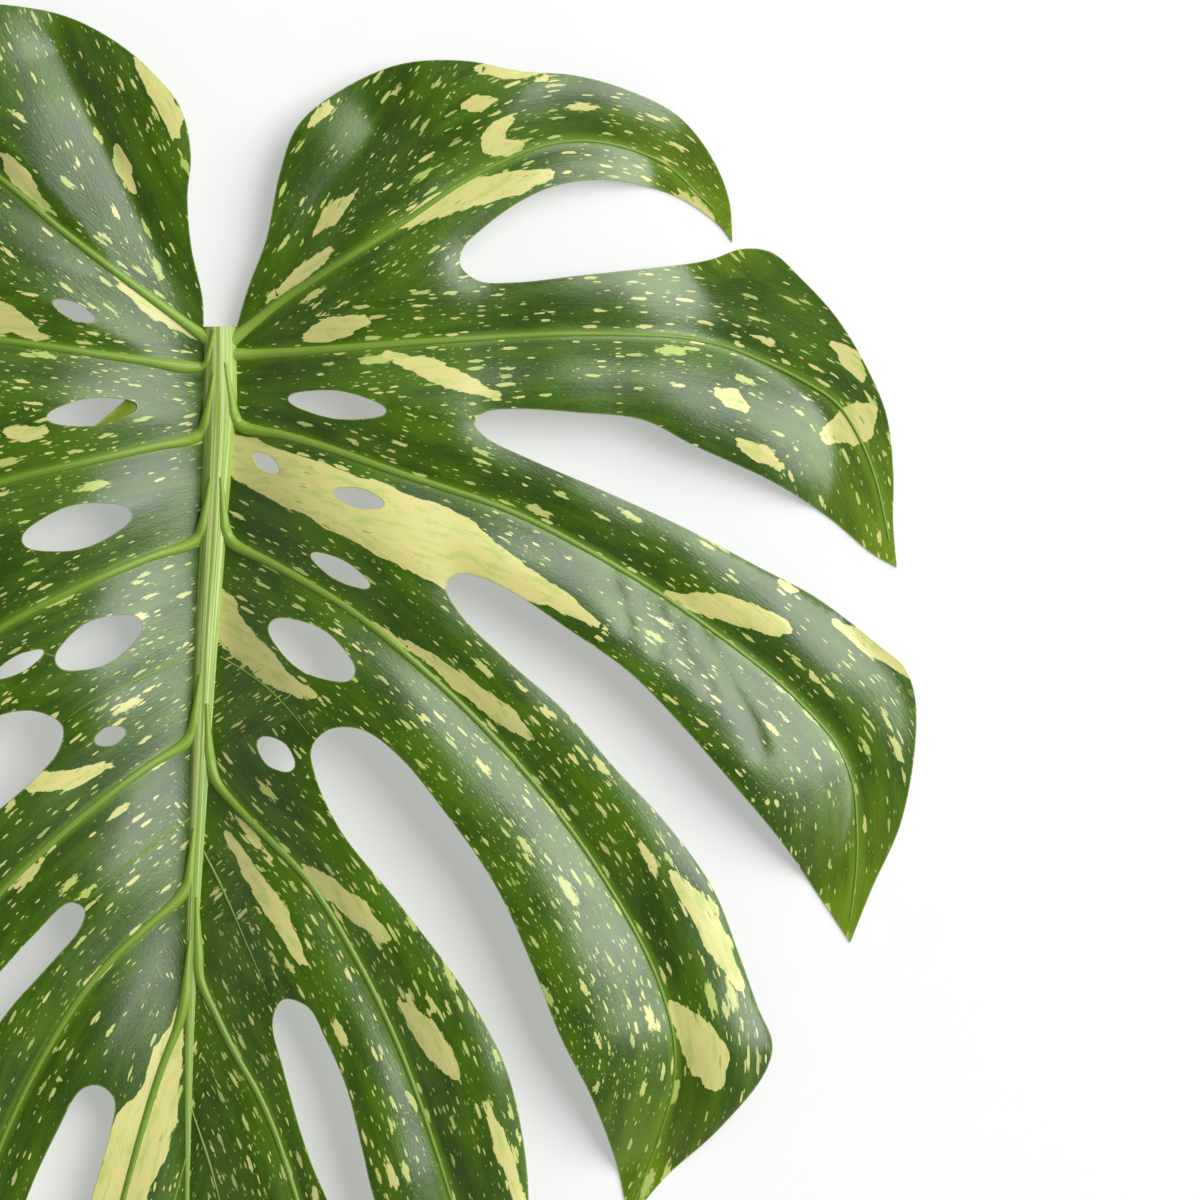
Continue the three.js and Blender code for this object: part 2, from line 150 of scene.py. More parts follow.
# Main lateral veins, from the midrib to the tip of their lobe.
MAIN_VEINS = [
    [(3, -4), (17, 7), (31, 16), (50, 28), (71, 42), (97, 52), (122, 47), (138, 33)],
    [(3, -8), (24, -7), (64, -4), (104, -2), (136, -4), (157, -12), (173, -22), (183, -42),
     (187, -60)],
    [(3, -27), (24, -32), (50, -41), (82, -52), (114, -69), (139, -86), (161, -104), (175, -122),
     (178, -145), (176, -166)],
    [(1, -59), (20, -69), (38, -80), (64, -102), (86, -125), (106, -152), (122, -182),
     (127, -205), (122, -228), (115, -246)],
    [(-5, -122), (7, -136), (24, -153), (38, -175), (50, -200), (60, -228), (68, -256),
     (75, -292)],
    [(-8, -176), (2, -198), (13, -218), (22, -244), (30, -272), (35, -320)],
    [(-3, -4), (-22, 10), (-43, 26), (-62, 42), (-88, 60), (-116, 67), (-143, 60), (-163, 42)],
    [(-3, -12), (-33, -8), (-62, -4), (-104, -1), (-140, -3), (-165, -12), (-186, -28),
     (-200, -58)],
    [(-4, -30), (-33, -37), (-62, -44), (-90, -54), (-120, -70), (-148, -90), (-170, -112),
     (-181, -138), (-182, -172)],
    [(-5, -59), (-26, -67), (-62, -85), (-84, -102), (-104, -124), (-121, -150), (-134, -182),
     (-140, -212), (-138, -240)],
    [(-7, -114), (-22, -124), (-41, -139), (-62, -159), (-80, -181), (-94, -210), (-104, -244),
     (-111, -280)],
    [(-9, -157), (-19, -166), (-35, -182), (-53, -211), (-65, -240), (-72, -272), (-76, -306)],
    [(-9, -188), (-16, -206), (-25, -236), (-32, -266), (-39, -322)],
]

# Creases of the two basal lobes, which fold them beside the notch.
CREASES = [
    [(4, -3), (17, 15), (25, 27), (30, 37), (37, 46), (44, 55)],
    [(-4, -3), (-18, 23), (-25, 38), (-35, 58), (-45, 78)],
]

# Thin veins between the main ones.
MINOR_VEINS = [
    [(0, -92), (7, -96), (14, -101), (20, -107), (25, -113)],
    [(-6, -92), (-15, -95), (-26, -100), (-36, -105), (-43, -110)],
    [(-8, -140), (0, -155), (7, -170), (14, -186)],
    [(-7, -136), (-18, -144), (-28, -152), (-37, -160)],
    [(-9, -215), (-2, -236), (4, -260)],
    [(-9, -230), (-14, -248), (-19, -266)],
]

# Wrinkles across the third right lobe, below its vein.
WRINKLES = [
    [(109, -71), (112, -77), (114, -83)], [(117, -77), (120, -82), (123, -89)],
    [(121, -79), (126, -87), (131, -95)], [(127, -84), (132, -93), (137, -101)],
    [(134, -87), (141, -98), (148, -110), (151, -118)],
]

# Cream fields: the outlines of the three widest cream areas, beside the midrib.
CREAM_FIELDS = [
    [(2, -30), (9, -31), (22, -35.5), (36, -40.5), (49, -45.5), (60, -49), (70, -54), (78, -61),
     (89, -69), (99, -76), (110, -86), (100, -81.5), (89, -77), (80, -75), (70, -77), (60, -71.5),
     (45, -64), (31, -56.5), (19, -50.5), (8, -45), (2, -41)],
    [(-2, -72), (4, -76), (7, -82), (13, -89), (20, -96), (30, -104.5), (22, -103), (15, -100.5),
     (9, -96), (3, -91), (-3, -86)],
    [(-10, -184), (-13, -193), (-18, -201), (-20, -209), (-24, -215), (-29, -220), (-33, -230),
     (-36, -244), (-39, -262), (-41, -285), (-40, -318), (-34, -300), (-30, -278), (-24, -256),
     (-19, -240), (-15, -231), (-12, -222), (-10.5, -205)],
]

# Cream patches: each is a brush stroke of x, y and half width.
CREAM_STROKES = [
    [(-31, -262, 4), (-35, -282, 4), (-38, -304, 1.5)],
    [(124, -75, 1), (134, -77, 3), (146, -80, 4), (156, -84, 2.5), (159, -85, 1)],
    [(172, -82.5, 1.2), (180, -87.5, 2.6), (187, -92, 2.2), (193, -97, 1)],
    [(50, -87, 0.8), (60, -93.5, 1.6), (71, -101.5, 2.6), (80, -108.5, 3), (86, -113.5, 1.6)],
    [(126, -152, 1.2), (133, -161, 3.2), (139, -172, 3.5), (145, -184, 1.2)],
    [(126, -189, 1.5), (132, -196, 5), (136, -204, 6), (138, -210, 3)],
    [(51, -188, 1.2), (57, -195, 3.4), (62, -202, 3.6), (66, -208, 1.5)],
    [(74, -215, 0.8), (79, -228, 2.2), (84, -244, 1.5)],
    [(22, -149, 0.8), (30, -155, 2.6), (39, -162.5, 3.2), (47, -170, 1)],
    [(2, -141, 0.8), (9, -152, 2.2), (17, -164, 3), (24, -177, 1)],
    [(2, -135, 0.4), (9, -142, 0.9), (15, -149, 0.4)],
    [(-60, 48, 1), (-55, 41, 3), (-49, 34, 0.8)],
    [(-29, 50, 1), (-27, 44, 2.6), (-24, 38, 1)],
    [(-23, 74, 1), (-17, 67, 3), (-12.5, 58, 2.8), (-12, 52, 1)],
    [(-28, 11.5, 0.6), (-20, 6, 2), (-12, 1, 2.2), (-6, -3, 1)],
    [(-66, 6, 2.5), (-58, 2, 3.5), (-51, -2, 2)],
    [(26, 26, 0.8), (31, 31, 2.8), (37, 36.5, 1)],
    [(13, 7, 0.6), (22, 14, 2.2), (31, 21.5, 1)],
    [(23, -3.5, 1), (31, -1, 3.6), (40, 1.5, 2)],
    [(25, 56, 0.8), (29, 60, 1.8), (33, 64, 1)],
    [(50, 28, 1), (60, 33, 3), (71, 37, 4), (82, 40, 3.6), (93, 42.5, 1)],
    [(71, 72, 1), (80, 71, 2.6), (91, 69.5, 1)],
    [(68, 61, 1), (72, 62, 2.4), (77, 63, 1)],
    [(74, 50, 1.5), (78, 55, 2.6), (81, 58, 1)],
    [(75, 48, 1), (80, 50, 2.6), (84, 51, 1)],
    [(127, 38, 1), (133, 35, 1.8), (138.5, 30, 0.8)],
    [(170, -30, 2.5), (177, -27, 6), (182, -23, 2)],
    [(138, -18, 1), (143, -20, 3), (147, -23, 1)],
    [(171, -4, 1), (176, -9, 2.8), (180, -14, 1)],
    [(144, -32, 1), (151, -35.5, 2.6), (157, -39, 1)],
    [(47, -8, 1.2), (56, -11, 2.8), (67, -15.5, 3), (78, -20, 1)],
    [(-53, -127, 2), (-42, -126, 3), (-29, -122, 1)],
    [(-58, -30, 1.4), (-53, -30, 2.2), (-47.5, -29.5, 1)],
    [(-48, -147, 0.8), (-53, -152, 2), (-57, -157, 0.8)],
    [(-28, -174, 0.6), (-32, -179, 1.4), (-37, -183, 0.6)],
    # the far half and the tip
    [(-90, 80, 1), (-105, 76, 4), (-120, 72, 1)],
    [(-110, 12, 1), (-125, 8, 4), (-142, 6, 1.5)],
    [(-176, -10, 1), (-184, -20, 4.5), (-190, -32, 2)],
    [(-110, -50, 1), (-130, -62, 3.5), (-150, -76, 1)],
    [(-176, -120, 2), (-188, -132, 5), (-190, -150, 2)],
    [(-96, -128, 1), (-110, -148, 3), (-120, -168, 1)],
    [(-150, -200, 2), (-152, -212, 4), (-146, -224, 1)],
    [(-100, -200, 1), (-110, -222, 3.4), (-114, -246, 1.2)],
    [(-66, -215, 0.8), (-76, -245, 3), (-80, -272, 1)],
    [(70, -250, 1), (76, -268, 3), (77, -284, 1)],
    [(22, -262, 1), (28, -280, 2.6), (33, -300, 1)],
    [(-6, -290, 0.8), (-2, -304, 2.2), (-4, -320, 0.8)],
]


# ---- Settings a user would change ----------------------------------------------------------------

def length(name, description, default):
    """A length in metres that a user can change."""
    return bpy.props.FloatProperty(name=name, description=description, default=default,
                                   unit="LENGTH", subtype="DISTANCE")


def colour(name, description, default):
    """A colour that a user can change."""
    return bpy.props.FloatVectorProperty(name=name, description=description, default=default,
                                         size=3, min=0.0, max=1.0, subtype="COLOR")


class LeafSizes(bpy.types.PropertyGroup):
    """Sizes of the leaf's relief and ribs."""
    mesh_step: length("Mesh Step", "Side of the blade's triangles", 0.0021)
    margin_step: length("Margin Step", "Spacing of the points along the margin", 0.0013)
    thickness: length("Blade Thickness", "Thickness of the blade between its veins", 0.0005)
    dome_rise: length("Dome Rise", "Height of the blade between midrib and lobe tips", 0.025)
    groove_depth: length("Groove Depth", "How far the blade dips at a lateral vein", 0.0065)
    groove_width: length("Groove Width", "How far from a vein the dip fades", 0.011)
    crease_depth: length("Crease Depth", "How far the blade dips at a crease", 0.011)
    margin_curl: length("Margin Curl", "How far the margin rolls down", 0.003)
    vein_radius: length("Vein Radius", "Half width of a main lateral vein at the midrib", 0.0017)
    minor_radius: length("Minor Vein Radius", "Half width of a thin vein at the midrib", 0.0006)


class LeafColours(bpy.types.PropertyGroup):
    """Colours of the leaf, linear."""
    deep: colour("Deep Green", "Blade at its darkest", (0.026, 0.070, 0.002))
    mid: colour("Mid Green", "Blade at its lightest", (0.062, 0.145, 0.002))
    young: colour("Yellow Green", "Lobe tips", (0.15, 0.25, 0.003))
    olive: colour("Olive", "The flap in a window", (0.21, 0.24, 0.03))
    lime: colour("Lime Fleck", "Small flecks", (0.40, 0.52, 0.12))
    cream: colour("Cream", "Cream patches", (0.64, 0.60, 0.22))
    vein: colour("Vein Green", "Lateral veins", (0.13, 0.25, 0.012))
    vein_foot: colour("Vein Foot Green", "Lateral veins at the midrib", (0.22, 0.37, 0.03))
    rib: colour("Rib Green", "Midrib", (0.30, 0.43, 0.07))
    rib_far: colour("Far Rib Green", "Midrib towards the tip", (0.22, 0.36, 0.05))
    # The fibre colour is partly real pale fibres and partly a painted sheen on the midrib's crown.
    rib_fibre_sheen: colour("Rib Fibre", "Pale fibres on the midrib", (0.62, 0.72, 0.30))
    under: colour("Underside Green", "Blade from below", (0.13, 0.24, 0.06))


# ---- Plane curves --------------------------------------------------------------------------------

SPAN_SAMPLES = 24
WINDOW_SAMPLES = 24  # at least
WINDOW_POINTING = 0.10
SMALLEST = 1e-9


def smooth_curve(points, step):
    """Points at even steps on the centripetal curve through the given ones."""
    p = np.array(points, float)
    p = np.vstack([2 * p[0] - p[1], p, 2 * p[-1] - p[-2]])
    knots = np.concatenate([[0], np.cumsum(np.sqrt(np.linalg.norm(np.diff(p, axis=0), axis=1)))])
    dense = []
    for i in range(1, len(p) - 2):
        t0, t1, t2, t3 = knots[i - 1:i + 3]
        t = np.linspace(t1, t2, SPAN_SAMPLES, endpoint=False)[:, None]
        a1 = (t1 - t) / (t1 - t0) * p[i - 1] + (t - t0) / (t1 - t0) * p[i]
        a2 = (t2 - t) / (t2 - t1) * p[i] + (t - t1) / (t2 - t1) * p[i + 1]
        a3 = (t3 - t) / (t3 - t2) * p[i + 1] + (t - t2) / (t3 - t2) * p[i + 2]
        b1 = (t2 - t) / (t2 - t0) * a1 + (t - t0) / (t2 - t0) * a2
        b2 = (t3 - t) / (t3 - t1) * a2 + (t - t1) / (t3 - t1) * a3
        dense.append((t2 - t) / (t2 - t1) * b1 + (t - t1) / (t2 - t1) * b2)
    dense = np.vstack(dense + [p[-2:-1]])
    return even_steps(dense, step)


def even_steps(line, step):
    """The same line with its points at even steps; extra columns are carried along."""
    lengths = np.concatenate([[0], np.cumsum(np.linalg.norm(np.diff(line[:, :2], axis=0), axis=1))])
    count = max(3, round(lengths[-1] / step))
    at = np.linspace(0, lengths[-1], count + 1)
    return np.column_stack([np.interp(at, lengths, line[:, k]) for k in range(line.shape[1])])


def closed_margin(step):
    """The whole margin as one closed line; a run's last point is the next run's first."""
    runs = [smooth_curve(run, step)[:-1] for run in MARGIN_RUNS]
    return np.vstack(runs + [np.array(MARGIN_RUNS[-1][-1:], float)])


def window_line(x, y, length_mm, width_mm, tilt, step):
    """A window's edge: an ellipse whose ends are a little pointed."""
    count = max(WINDOW_SAMPLES, round(math.pi * (length_mm + width_mm) / 2 / step))
    t = np.linspace(0, 2 * math.pi, count, endpoint=False)
    pointed = 1 - WINDOW_POINTING * np.sin(t) ** 2 * np.cos(t) ** 2 * 4
    u = length_mm / 2 * np.cos(t)
    v = width_mm / 2 * np.sin(t) * pointed
    a = math.radians(tilt)
    return np.column_stack([x + u * math.cos(a) - v * math.sin(a),
                            y + u * math.sin(a) + v * math.cos(a)])


def on_line(points, line):
    """For each point: distance to the line, length along it, and side (positive on its left)."""
    best = np.full(len(points), np.inf)
    along = np.zeros(len(points))
    side = np.zeros(len(points))
    start = 0.0
    for a, b in zip(line[:-1], line[1:]):
        ab = b - a
        size = np.linalg.norm(ab)
        rel = points - a
        share = np.clip(rel @ ab / max(size * size, SMALLEST), 0, 1)
        off = rel - share[:, None] * ab
        distance = np.hypot(off[:, 0], off[:, 1])
        closer = distance < best
        best = np.where(closer, distance, best)
        along = np.where(closer, start + share * size, along)
        side = np.where(closer, ab[0] * rel[:, 1] - ab[1] * rel[:, 0], side)
        start += size
    return best, along, np.sign(side)


def nearest_distance(points, samples):
    """Distance from each point to the nearest of many samples."""
    tree = kdtree.KDTree(len(samples))
    for i, (x, y) in enumerate(samples):
        tree.insert((x, y, 0), i)
    tree.balance()
    return np.array([tree.find((x, y, 0))[2] for x, y in points])


def inside(points, loops):
    """True where a point is inside an odd number of the closed loops."""
    result = np.zeros(len(points), bool)
    for loop in loops:
        x, y = points[:, 0], points[:, 1]
        crossed = np.zeros(len(points), bool)
        for (ax, ay), (bx, by) in zip(loop, np.roll(loop, -1, axis=0)):
            if ay == by:
                continue
            spans = (ay > y) != (by > y)
            crossed ^= spans & (x < (bx - ax) * (y - ay) / (by - ay) + ax)
        result ^= crossed
    return result


# ---- Height of the blade -------------------------------------------------------------------------

DOME_CENTRE = (-5, -125)
DOME_HALF_SIZE = (212, 240)
DOME_POWER = 2.4
RIB_VALLEY_HALF_WIDTH = 26
RIB_VALLEY_POWER = 1.4
TIP_DROOP = 9
TIP_DROOP_LENGTH = 26
REST_SOFTNESS = 0.4
RIB_UNDER_BLADE = 0.62
RIB_EDGE_SHARE = 0.42
GROOVE_FLOOR = 2.5
CREASE_FLOOR = 1.2
CREASE_WIDTH = 24
BASAL_LINE = -20  # above this line the two basal lobes stay raised
BASAL_FALL = 0.5  # their fall towards the margin, as a share of the dome's
BASAL_SOFTNESS = 20
FLAT_RIB_LENGTH = 62
RIB_ARCH_RISE = 5
CURL_WIDTH = 8
MINOR_DIP = 0.7  # at a thin vein
MINOR_DIP_REACH = 4.0
WRINKLE_DIP = 1.0
WRINKLE_DIP_REACH = 2.3
LONG_WAVE = 0.5  # heights of the blade's long and short waves
SHORT_WAVE = 0.25
VEIN_STEP = 3
LOBE_TIPS = np.array([run[-1] for run in MARGIN_RUNS[:-1]], float)
LEAF_TIP = LOBE_TIPS[6]
MAIN_LINES, CREASE_LINES, WRINKLE_LINES, MINOR_LINES = (
    [smooth_curve(points, VEIN_STEP) for points in group]
    for group in (MAIN_VEINS, CREASES, WRINKLES, MINOR_VEINS))
RIB_TABLE = np.array(MIDRIB, float)[::-1]  # from the tip up, so that y rises
FINE_MARGIN_STEP = 0.5


def rib_at(y):
    """The midrib's x, width and height at each y."""
    return [np.interp(y, RIB_TABLE[:, 1], RIB_TABLE[:, k]) for k in (0, 2, 3)]


def rib_underside(y):
    """The midrib's underside: flat near the cut, then a low arch down to the leaf's tip."""
    arch = np.clip((-y - FLAT_RIB_LENGTH) / (-RIB_TABLE[0, 1] - FLAT_RIB_LENGTH), 0, 1)
    return RIB_ARCH_RISE * np.sin(math.pi * arch) ** 2


def ripples(x, y):
    """Low waves of the blade; their lengths and phases only keep them from repeating."""
    waves = LONG_WAVE * np.sin(x / 17.0 + 0.6 * np.sin(y / 23.0)) * np.sin(y / 21.0 + 1.3)
    waves += SHORT_WAVE * np.sin(x / 7.3 - y / 9.1) * np.sin(x / 11.0 + y / 6.7 + 0.8)
    return waves


def nearest_line(points, lines):
    """Distance from each point to the nearest of the lines."""
    return np.min([on_line(points, line)[0] for line in lines], axis=0)


def bell(distance, reach):
    """1 on a line, fading smoothly beside it."""
    return np.exp(-(distance / reach) ** 2)


def furrow(distance, depth, floor, width):
    """A furrow with a soft floor and long sloping sides."""
    return depth * np.exp(-(np.hypot(distance, floor) - floor) / width)


def blade_height(points, sizes):
    """Height of the upper side of the blade over each point, in millimetres."""
    x, y = points[:, 0], points[:, 1]
    past_line = (y - BASAL_LINE + np.hypot(y - BASAL_LINE, BASAL_SOFTNESS)) / 2
    dome_y = y - (1 - BASAL_FALL) * past_line
    reach = np.hypot((x - DOME_CENTRE[0]) / DOME_HALF_SIZE[0],
                     (dome_y - DOME_CENTRE[1]) / DOME_HALF_SIZE[1])
    dome = sizes.dome_rise / MM * (1 - np.minimum(reach, 1) ** DOME_POWER)
    rib_x, rib_width, rib_height = rib_at(y)
    seat = rib_underside(y) + RIB_UNDER_BLADE * rib_height
    from_rib = np.maximum(np.hypot(x - rib_x, np.maximum(y, 0)) - RIB_EDGE_SHARE * rib_width, 0)
    out_of_valley = 1 - np.exp(-(from_rib / RIB_VALLEY_HALF_WIDTH) ** RIB_VALLEY_POWER)
    groove = furrow(nearest_line(points, MAIN_LINES), sizes.groove_depth / MM, GROOVE_FLOOR,
                    sizes.groove_width / MM)
    crease = furrow(nearest_line(points, CREASE_LINES), sizes.crease_depth / MM, CREASE_FLOOR,
                    CREASE_WIDTH)
    groove = np.maximum(groove, crease)
    groove += MINOR_DIP * bell(nearest_line(points, MINOR_LINES), MINOR_DIP_REACH)
    groove += WRINKLE_DIP * bell(nearest_line(points, WRINKLE_LINES), WRINKLE_DIP_REACH)
    from_margin = nearest_distance(points, closed_margin(FINE_MARGIN_STEP))
    curl = sizes.margin_curl / MM * np.exp(-from_margin / CURL_WIDTH)
    tips = np.min(np.linalg.norm(points[:, None] - LOBE_TIPS[None], axis=2), axis=1)
    droop = TIP_DROOP * bell(tips, TIP_DROOP_LENGTH)
    height = seat + (dome - seat - groove - curl + ripples(x, y)) * out_of_valley - droop
    # Never under the surface the leaf lies on, with a soft landing.
    return sizes.thickness / MM + (height + np.hypot(height, 2 * REST_SOFTNESS)) / 2


# ---- From the drawing to the frame ---------------------------------------------------------------

def drawing_shift():
    """Where the drawing's zero lies in the frame, so that the margin fills the CAD model's box."""
    margin = closed_margin(FINE_MARGIN_STEP) * MM
    middle = (margin.min(axis=0) + margin.max(axis=0)) / 2
    low, high = CAD_BOX
    return (low.x + high.x) / 2 - middle[0], (low.y + high.y) / 2 - middle[1], low.z


SHIFT = np.array(drawing_shift())


def in_frame(points_mm):
    """Points of the drawing, set into the frame in metres."""
    return np.asarray(points_mm, float) * MM + SHIFT



# ---- Materials -----------------------------------------------------------------------------------

WHITE = (1.0, 1.0, 1.0, 1.0)
FLOOR_GREYS = (0.54, 0.56)
FLOOR_GLOW = 0.37  # the floor is a faintly lit table
LEAF_GLOSS = 0.64
BLADE_FIELDS = ("cream", "margin", "tip", "vein")
PALE_BELOW = 0.62
MATT_BELOW = 0.2  # the underside is rougher by this much
LEAST_FLECK = 0.35  # the smallest fleck's radius, by the largest one's
FLECK_CORE = 0.7  # a fleck is full inside this share of its radius
SEED_SLANT = 0.37

class Value:
    """One output of a node; expressions on it add Math nodes."""

    def __init__(self, nodes, node, key):
        self.nodes = nodes
        self.node = node
        self.key = key

    def output(self, key):
        """Another output of the same node."""
        return Value(self.nodes, self.node, key)

    def math(self, operation, *values):
        return self.nodes.add("ShaderNodeMath", {"operation": operation}, values)

    def __add__(self, other):
        return self.math("ADD", self, other)

    def __sub__(self, other):
        return self.math("SUBTRACT", self, other)

    def __rsub__(self, other):
        return self.math("SUBTRACT", other, self)

    def __mul__(self, other):
        return self.math("MULTIPLY", self, other)

    def __lt__(self, other):
        return self.math("LESS_THAN", self, other)

    def __gt__(self, other):
        return self.math("GREATER_THAN", self, other)

    __radd__ = __add__
    __rmul__ = __mul__


class Nodes:
    """A node tree, built call by call."""

    def __init__(self, tree):
        self.tree = tree

    def add(self, kind, settings=(), inputs=(), output=0):
        """One node: its settings first, then its sockets' values or links."""
        node = self.tree.nodes.new(kind)
        for key, value in dict(settings).items():
            setattr(node, key, value)
        pairs = inputs.items() if isinstance(inputs, dict) else enumerate(inputs)
        for key, value in pairs:
            self.feed(node.inputs[key], value)
        return Value(self, node, output)

    def feed(self, socket, value):
        """Links a socket to another node's output, or gives it a plain value."""
        if isinstance(value, Value):
            self.tree.links.new(value.node.outputs[value.key], socket)
        else:
            socket.default_value = value


class Shader(Nodes):
    """A material's node tree."""

    def __init__(self, name):
        self.material = bpy.data.materials.new(name)
        self.material.use_nodes = True
        super().__init__(self.material.node_tree)

    def attribute(self, name):
        """A number that the mesh carries."""
        return self.add("ShaderNodeAttribute", {"attribute_name": name}, output="Fac")

    def mix(self, factor, low, high):
        """A colour between two colours."""
        colours = {6: low, 7: high}  # sockets of the node's two colours
        for key, value in colours.items():
            if not isinstance(value, Value):
                colours[key] = (*value, 1.0)
        return self.add("ShaderNodeMix", {"data_type": "RGBA"}, {0: factor, **colours}, 2)

    def step(self, value, low, high, out_low=0.0, out_high=1.0):
        """A soft step between two limits."""
        settings = {"interpolation_type": "SMOOTHSTEP"}
        inputs = {"Value": value, "From Min": low, "From Max": high, "To Min": out_low,
                  "To Max": out_high}
        return self.add("ShaderNodeMapRange", settings, inputs)

    def place(self, vector, scale, offset=(0, 0, 0)):
        """A stretched and shifted place."""
        inputs = {"Vector": vector, "Scale": scale, "Location": offset}
        return self.add("ShaderNodeMapping", {}, inputs)

    def noise(self, vector, scale=1.0, detail=2.0, roughness=0.5, dimensions="3D"):
        """Smooth random values from about 0.2 to 0.8."""
        inputs = {"Vector": vector, "Scale": scale, "Detail": detail, "Roughness": roughness}
        return self.add("ShaderNodeTexNoise", {"noise_dimensions": dimensions}, inputs)

    def drawn_out(self, flow, length_mm, width_mm, offset=(0, 0, 0)):
        """Places along and across the veins, counted in cells of this size."""
        return self.place(flow, (1 / length_mm, 1 / width_mm, 1), offset)

    def grain(self, flow, length_mm, width_mm, detail, roughness=0.5, offset=(0, 0, 0)):
        """Noise drawn out along the veins."""
        where = self.drawn_out(flow, length_mm, width_mm, offset)
        return self.noise(where, 1.0, detail, roughness, "2D")

    def cells(self, vector):
        """Distance to the middle of the nearest cell, and that cell's three random numbers."""
        inputs = {"Vector": vector, "Scale": 1.0, "Randomness": 1.0}
        distance = self.add("ShaderNodeTexVoronoi", {"voronoi_dimensions": "2D"}, inputs, "Distance")
        random = self.add("ShaderNodeSeparateColor", {}, (distance.output("Color"),))
        return distance, [random.output(k) for k in range(3)]

    def bump(self, strength, distance, height):
        """A relief that only the light shows."""
        return self.add("ShaderNodeBump", {}, {"Strength": strength, "Distance": distance,
                                               "Height": height})

    def finish(self, **inputs):
        """Feeds the surface and hands the material over."""
        surface = self.tree.nodes["Principled BSDF"]
        for name, value in inputs.items():
            self.feed(surface.inputs[name.replace("_", " ")], value)
        return self.material


def flecks(s, flow, torn, cell, share, largest, seed):
    """Drops drawn out along the veins: a mask, and each drop's random number."""
    length_mm, width_mm = cell
    where = s.drawn_out(flow, length_mm, width_mm, (seed, SEED_SLANT * seed, 0))
    distance, (pick, girth, tint) = s.cells(where)
    radius = (LEAST_FLECK + (1 - LEAST_FLECK) * girth) * largest
    drop = s.step(distance + torn * largest, radius, radius * FLECK_CORE)
    return drop * (pick < share), tint


def blade_material(colours):
    """The blade: green with cream patches and flecks above, paler and matt below."""
    s = Shader("leaf_blade")
    flow = s.add("ShaderNodeUVMap", {"uv_map": "flow"})
    place = s.add("ShaderNodeTexCoord", output="Object")
    cream, margin, tip, vein = (s.attribute(name) for name in BLADE_FIELDS)
    on_top = s.step(s.attribute("upper"), 0.2, 0.8)

    # Greens, in long soft streaks along the veins.
    streaks = s.grain(flow, 22, 5, 4.0, 0.6)
    clouds = s.noise(place, 28.0, 2.0)
    tone = s.step(0.55 * streaks + 0.45 * clouds, 0.36, 0.66)
    green = s.mix(tone, colours.deep, colours.mid)
    fine_grain = s.grain(flow, 1.6, 0.5, 2.0)
    green = s.mix(s.step(fine_grain, 0.45, 0.75, 0.0, 0.22), green, colours.mid)
    young = tip * s.step(streaks, 0.25, 0.65, 0.5, 0.95)
    green = s.mix(young, green, colours.young)
    green = s.mix(s.step(vein, 2.6, 0.9, 0.0, 0.55), green, colours.vein)

    # Flecks of four sizes, in clusters; their edges are torn by a fine noise.
    torn = (s.grain(flow, 2.6, 0.8, 2.0, 0.55) - 0.5) * 1.1
    crowd = s.step(s.noise(place, 26.0, 2.0), 0.36, 0.62)
    large, large_tint = flecks(s, flow, torn, (22, 6.0), 0.12 + 0.18 * crowd, 0.26, 3.1)
    middle, middle_tint = flecks(s, flow, torn, (12.5, 2.7), 0.24 + 0.38 * crowd, 0.24, 7.7)
    small, small_tint = flecks(s, flow, torn, (6.4, 1.4), 0.22 + 0.38 * crowd, 0.22, 12.9)
    dust, _ = flecks(s, flow, torn, (2.6, 1.0), 0.06 + 0.22 * crowd, 0.25, 19.3)
    fleck_colour = s.mix(large_tint, colours.lime, colours.cream)
    surface = s.mix(dust * 0.45, green, colours.lime)
    surface = s.mix(small * s.step(small_tint, 0.0, 0.7, 0.45, 1.0), surface, fleck_colour)
    surface = s.mix(middle * s.step(middle_tint, 0.0, 0.4, 0.7, 1.0), surface, fleck_colour)
    surface = s.mix(large, surface, fleck_colour)

    # Cream patches with slightly ragged edges and faint green marbling.
    ragged = (s.grain(flow, 9, 2.6, 3.0, 0.55) - 0.5) * 2.8
    patch = s.step(cream + ragged, -0.12, 0.12)
    marble = s.grain(flow, 9, 2.2, 3.0, 0.6, (5, 2, 0))
    cream_colour = s.mix(s.step(marble, 0.46, 0.70, 0.0, 0.65), colours.cream, colours.lime)
    threads, _ = flecks(s, flow, torn, (11, 2.2), 0.20, 0.16, 31.0)
    cream_colour = s.mix(threads * 0.6, cream_colour, colours.vein)
    surface = s.mix(patch, surface, cream_colour)

    # The very edge is painted pale, a painted light shining through the thin, translucent rim; the
    # underside is paler and matt.
    surface = s.mix(s.step(margin, 0.40, 0.12, 0.0, 0.35), surface, colours.rib)
    below = s.mix(PALE_BELOW, surface, colours.under)
    surface = s.mix(on_top, below, surface)

    # Fine lines along the veins.
    lines = s.grain(flow, 30, 0.9, 2.0)
    relief = 0.2 * lines + 0.25 * fine_grain + 0.5 * clouds - 0.2 * patch
    bump = s.bump(0.34, 0.0004, relief)
    rough = s.step(fine_grain, 0.25, 0.75, 0.28, 0.34)
    rough = rough + (1 - on_top) * MATT_BELOW
    return s.finish(Base_Color=surface, Roughness=rough, Normal=bump, Specular_IOR_Level=LEAF_GLOSS)


